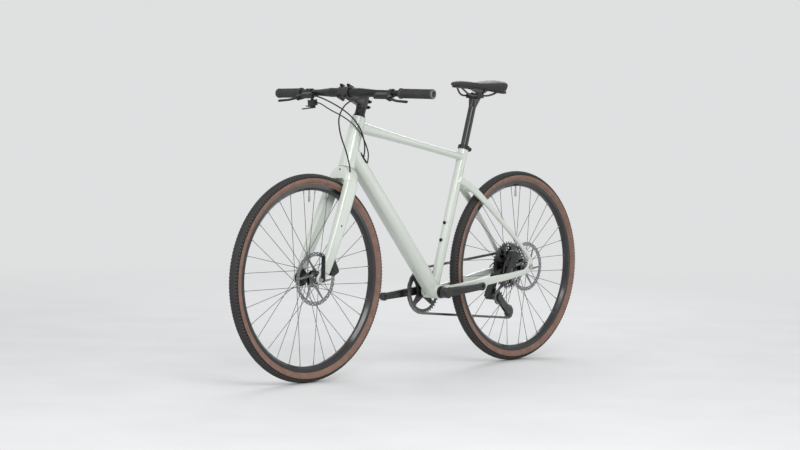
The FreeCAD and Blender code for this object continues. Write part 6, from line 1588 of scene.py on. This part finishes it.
@dataclass
class SaddlePad:
    """The stretched cover over the saddle's foam: a crowned loft with a rolled hem."""

    shares: tuple[float, ...] = (0.0, 0.03, 0.12, 0.3, 0.5, 0.68, 0.84, 0.95, 1.0)
    widths: tuple[float, ...] = (12.4, 17.5, 20.4, 23.4, 35.0, 59.9, 73.0, 65.7, 38.0)
    tops: tuple[float, ...] = (14.0, 9.0, 4.5, 5.0, 7.5, 4.0, -1.0, -0.5, 6.0)
    sides: tuple[float, ...] = (20.0, 22.0, 23.0, 25.0, 30.0, 38.0, 44.0, 41.0, 28.0)
    unders: tuple[float, ...] = (22.5, 24.5, 25.5, 27.5, 27.0, 26.0, 24.0, 24.0, 25.0)
    widest: float = 0.42
    flank: float = 0.8
    steps: int = 44
    nose_round: float = 0.045
    tail_round: float = 0.06
    tail_trim: float = 0.010
    rise: float = 0.001
    slack: float = 1e-9
    crown_steps: int = 14
    crown_power: float = 0.8
    flank_parts: tuple[float, ...] = (0.35, 0.7, 1.0)
    flank_power: float = 1.6
    under_steps: int = 6
    hem_start: float = 0.06
    hem_end: float = 0.955
    hem_radius: float = 0.0013
    hem_rows: tuple[tuple[int, str], ...] = ((17, "right"), (23, "left"))
    crease: float = 60.0

    def value(self, table: Sequence[float], share: float) -> float:
        """A table's value in metres at a share of the length, on a curve through its rows."""
        last = len(self.shares) - 1
        index = max(i for i in range(last) if share >= self.shares[i] - self.slack)
        start, end = self.shares[index], self.shares[index + 1]
        low, high = table[index], table[index + 1]
        step = end - start
        slopes = []
        for place in (index, index + 1):
            near, far = max(place - 1, 0), min(place + 1, last)
            slopes.append((table[far] - table[near]) / (self.shares[far] - self.shares[near]))
        part = (share - start) / step
        square, cube = part * part, part**3
        value = low * (2 * cube - 3 * square + 1) + high * (3 * square - 2 * cube)
        value += slopes[0] * step * (cube - 2 * square + part) + slopes[1] * step * (cube - square)
        return value * MM

    def end_scale(self, share: float) -> float:
        """How far a section is drawn in towards the nose or the tail."""
        for distance, reach in ((share, self.nose_round), (1.0 - share, self.tail_round)):
            if distance < reach:
                return 0.5 + 0.5 * math.sqrt(max(0.0, 1.0 - (1.0 - distance / reach) ** 2))
        return 1.0

    def section(self, share: float) -> Outline:
        """One closed section as offsets to the left and drops from the top, in metres."""
        half = self.value(self.widths, share)
        top = self.value(self.tops, share)
        side = self.value(self.sides, share)
        under = self.value(self.unders, share)
        wide = top + (side - top) * self.widest
        points = []
        for step in range(self.crown_steps + 1):
            angle = math.pi * step / self.crown_steps
            crown = math.sin(angle) ** self.crown_power
            points.append((half * math.cos(angle), wide - (wide - top) * crown))
        low = half * self.flank
        flank = []
        for part in self.flank_parts:
            bulge = half - (half - low) * part**self.flank_power
            flank.append((bulge, wide + (side - wide) * part))
        points += [(-bulge, drop) for bulge, drop in flank]
        for step in range(1, self.under_steps):
            angle = 1.0 - 2.0 * step / self.under_steps
            points.append((-low * angle, side + (under - side) * (1.0 - angle * angle)))
        points += reversed(flank)
        scale = self.end_scale(share)
        middle = (top + under) / 2.0
        return [(across * scale, middle + (drop - middle) * scale) for across, drop in points]

    def build(self, cover: Material) -> None:
        """Makes the pad.

        Args:
            cover: The cover's finish.
        """
        low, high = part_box("saddle_pad")
        nose, length, level = high.x, high.x - low.x - self.tail_trim, high.z + self.rise
        turns = [math.pi * step / self.steps for step in range(self.steps + 1)]
        shares = [0.5 - 0.5 * math.cos(turn) for turn in turns]
        rings = []
        for share in shares:
            place = nose - share * length
            section = self.section(share)
            rings.append([Vector((place, across, level - drop)) for across, drop in section])
        build = bmesh.new()
        add_sweep(build, rings)
        pad = painted(rounded(piece_from("saddle_skin", build), 1), cover)
        parts = [pad]
        first, last = self.hem_start, self.hem_end
        inner = [ring for ring, share in zip(rings, shares) if first < share < last]
        for index, name in self.hem_rows:
            edge = [tuple(pad.closest_point_on_mesh(ring[index])[1]) for ring in inner[::2]]
            parts.append(painted(hose_tube(f"saddle_hem_{name}", edge, self.hem_radius), cover))
        piece = smooth(joined("saddle_cover", parts), self.crease)
        carried(piece, Body.SEAT, Slot.SADDLE, "saddle_pad")


@dataclass
class HoseLeads:
    """The rear brake hose and the shift housing, which bend between the bar and the down tube."""

    hose: float = 0.0025
    housing: float = 0.0022
    brake_route: tuple[Point, ...] = (
        (0.38021, -0.14422, 0.95728),
        (0.3829, -0.12238, 0.95755),
        (0.358, -0.084, 0.938),
        (0.352, -0.030, 0.914),
        (0.342, 0.008, 0.886),
        (0.326, 0.031, 0.850),
        (0.306, 0.031, 0.806),
        (0.298, 0.026, 0.772),
        (0.292, 0.012, 0.738),
    )
    shift_route: tuple[Point, ...] = (
        (0.3512, -0.16054, 0.9351),
        (0.35389, -0.1387, 0.93537),
        (0.362, -0.084, 0.912),
        (0.358, -0.028, 0.892),
        (0.346, 0.012, 0.866),
        (0.328, 0.037, 0.832),
        (0.300, 0.038, 0.786),
        (0.282, 0.030, 0.752),
        (0.274, 0.012, 0.722),
    )
    bend_start: Point = (0.31, 0.0, 0.765)
    bend_end: Point = (0.31, 0.0, 0.90)
    crease: float = 50.0

    def build(self, finish: Material) -> None:
        """Makes both hoses as one piece.

        Args:
            finish: The hoses' jacket.
        """
        brake = painted(hose_tube("brake_lead", self.brake_route, self.hose), finish)
        shift = painted(hose_tube("shift_lead", self.shift_route, self.housing), finish)
        piece = smooth(joined("bar_hoses", [brake, shift]), self.crease)
        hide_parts("hose_leads")
        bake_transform(piece)
        LOG.info("%s: %d faces", piece.name, len(piece.data.polygons))


@dataclass
class Castings:
    """Forged, cast and moulded pieces: copies of their solids with every edge softened."""

    frame: dict
    finishes: dict[str, Material]
    crease: float = 60.0

    def table(self) -> tuple[tuple[str, str, float, int], ...]:
        """Each node with its finish, its grain in metres and its rounds of softening."""
        return (
            ("stem", "stem", 0.0009, 4),
            ("stem_faceplate", "stem", 0.0007, 4),
            ("control_bodies", "cast", 0.0009, 4),
            ("shift_thumb_lever", "plastic", 0.0006, 4),
            ("shift_release_lever", "plastic", 0.0006, 4),
            ("seatpost", "post", 0.0012, 3),
            ("seat_clamp", "satin", 0.0007, 3),
            ("saddle_clamp", "satin", 0.0007, 3),
            ("crank_arms", "crank", 0.0010, 4),
            ("front_axle_lever", "satin", 0.0007, 5),
            ("front_caliper", "cast", 0.0007, 3),
            ("rear_caliper", "cast", 0.0007, 3),
            ("derailleur_body", "cast", 0.0006, 4),
            ("derailleur_knuckle", "cast", 0.0006, 4),
            ("derailleur_outer_link", "satin", 0.0006, 4),
            ("derailleur_inner_link", "satin", 0.0006, 4),
        )

    def body_of(self, node: str) -> Body:
        """The body that a node belongs to."""
        bodies = self.frame["record"]["behaviour"]["bodies"]
        return next(Body(name) for name, nodes in bodies.items() if node in nodes)

    def slot_of(self, node: str) -> Slot:
        """The record's material slot of a node."""
        parts = self.frame["record"]["subparts"]
        return next(Slot(part["material_slot"]) for part in parts if part["node"] == node)

    def build(self) -> None:
        """Makes every casting."""
        for node, finish, grain, rounds in self.table():
            piece = melted(node + "_cast", merged_copy(self.frame, (node,)), grain, rounds)
            painted(smooth(piece, self.crease), self.finishes[finish])
            carried(piece, self.body_of(node), self.slot_of(node), node)


# Carried CAD pieces


@dataclass
class CarriedNodes:
    """CAD pieces whose shapes are right: each gets its finish."""

    frame: dict
    finishes: dict[str, Material]

    def table(self) -> dict[str, tuple[str, ...]]:
        """The nodes for each finish, by the finish's field name."""
        return {
            "satin": ("handlebar", "front_hub", "rear_hub", "headset", "bottom_bracket_cups"),
            "gloss": ("front_rim", "rear_rim"),
            "steel": ("front_axle", "rear_axle", "front_wheel_fittings", "rear_wheel_fittings"),
            "rail": ("saddle_rails",),
            "rotor": ("front_rotor", "rear_rotor"),
            "spoke": ("front_spokes", "rear_spokes"),
            "chain": ("chain",),
            "cog": ("cassette", "chainring", "derailleur_cage"),
            "dark_screw": ("cockpit_bolts", "frame_fittings"),
            "plastic": ("saddle_base", "guide_pulley", "tension_pulley"),
            "hose": ("hose_tails", "front_brake_hose"),
        }

    def build(self) -> None:
        """Dresses every node in the table."""
        for finish, nodes in self.table().items():
            for name in nodes:
                painted(self.frame["nodes"][name], self.finishes[finish])


def main() -> None:
    """Builds the studio and the bike, piece by piece."""
    logging.basicConfig(level=logging.INFO, format="%(name)s: %(message)s")
    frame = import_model()
    layout = Layout()
    finishes = Finishes().made()
    Studio().build()
    CarriedNodes(frame, finishes).build()
    WeldedFrame(layout).build(frame, finishes["paint"])
    WeldedFork(layout).build(frame, finishes["paint"], finishes["groove"])
    ring = RingOfCopies()
    for prefix, body, axle in (
        ("front", Body.FRONT_WHEEL, layout.front_axle),
        ("rear", Body.REAR_WHEEL, layout.rear_axle),
    ):
        Tyre(prefix, body, axle, ring).build(finishes)
    Grips(layout, ring).build(finishes["grip"], finishes["end_ring"], finishes["plastic"])
    for side in Side:
        BrakeLever(layout, side).build(finishes["satin"])
    SaddlePad().build(finishes["cover"])
    HoseLeads().build(finishes["hose"])
    Castings(frame, finishes).build()


if __name__ == "__main__":
    main()
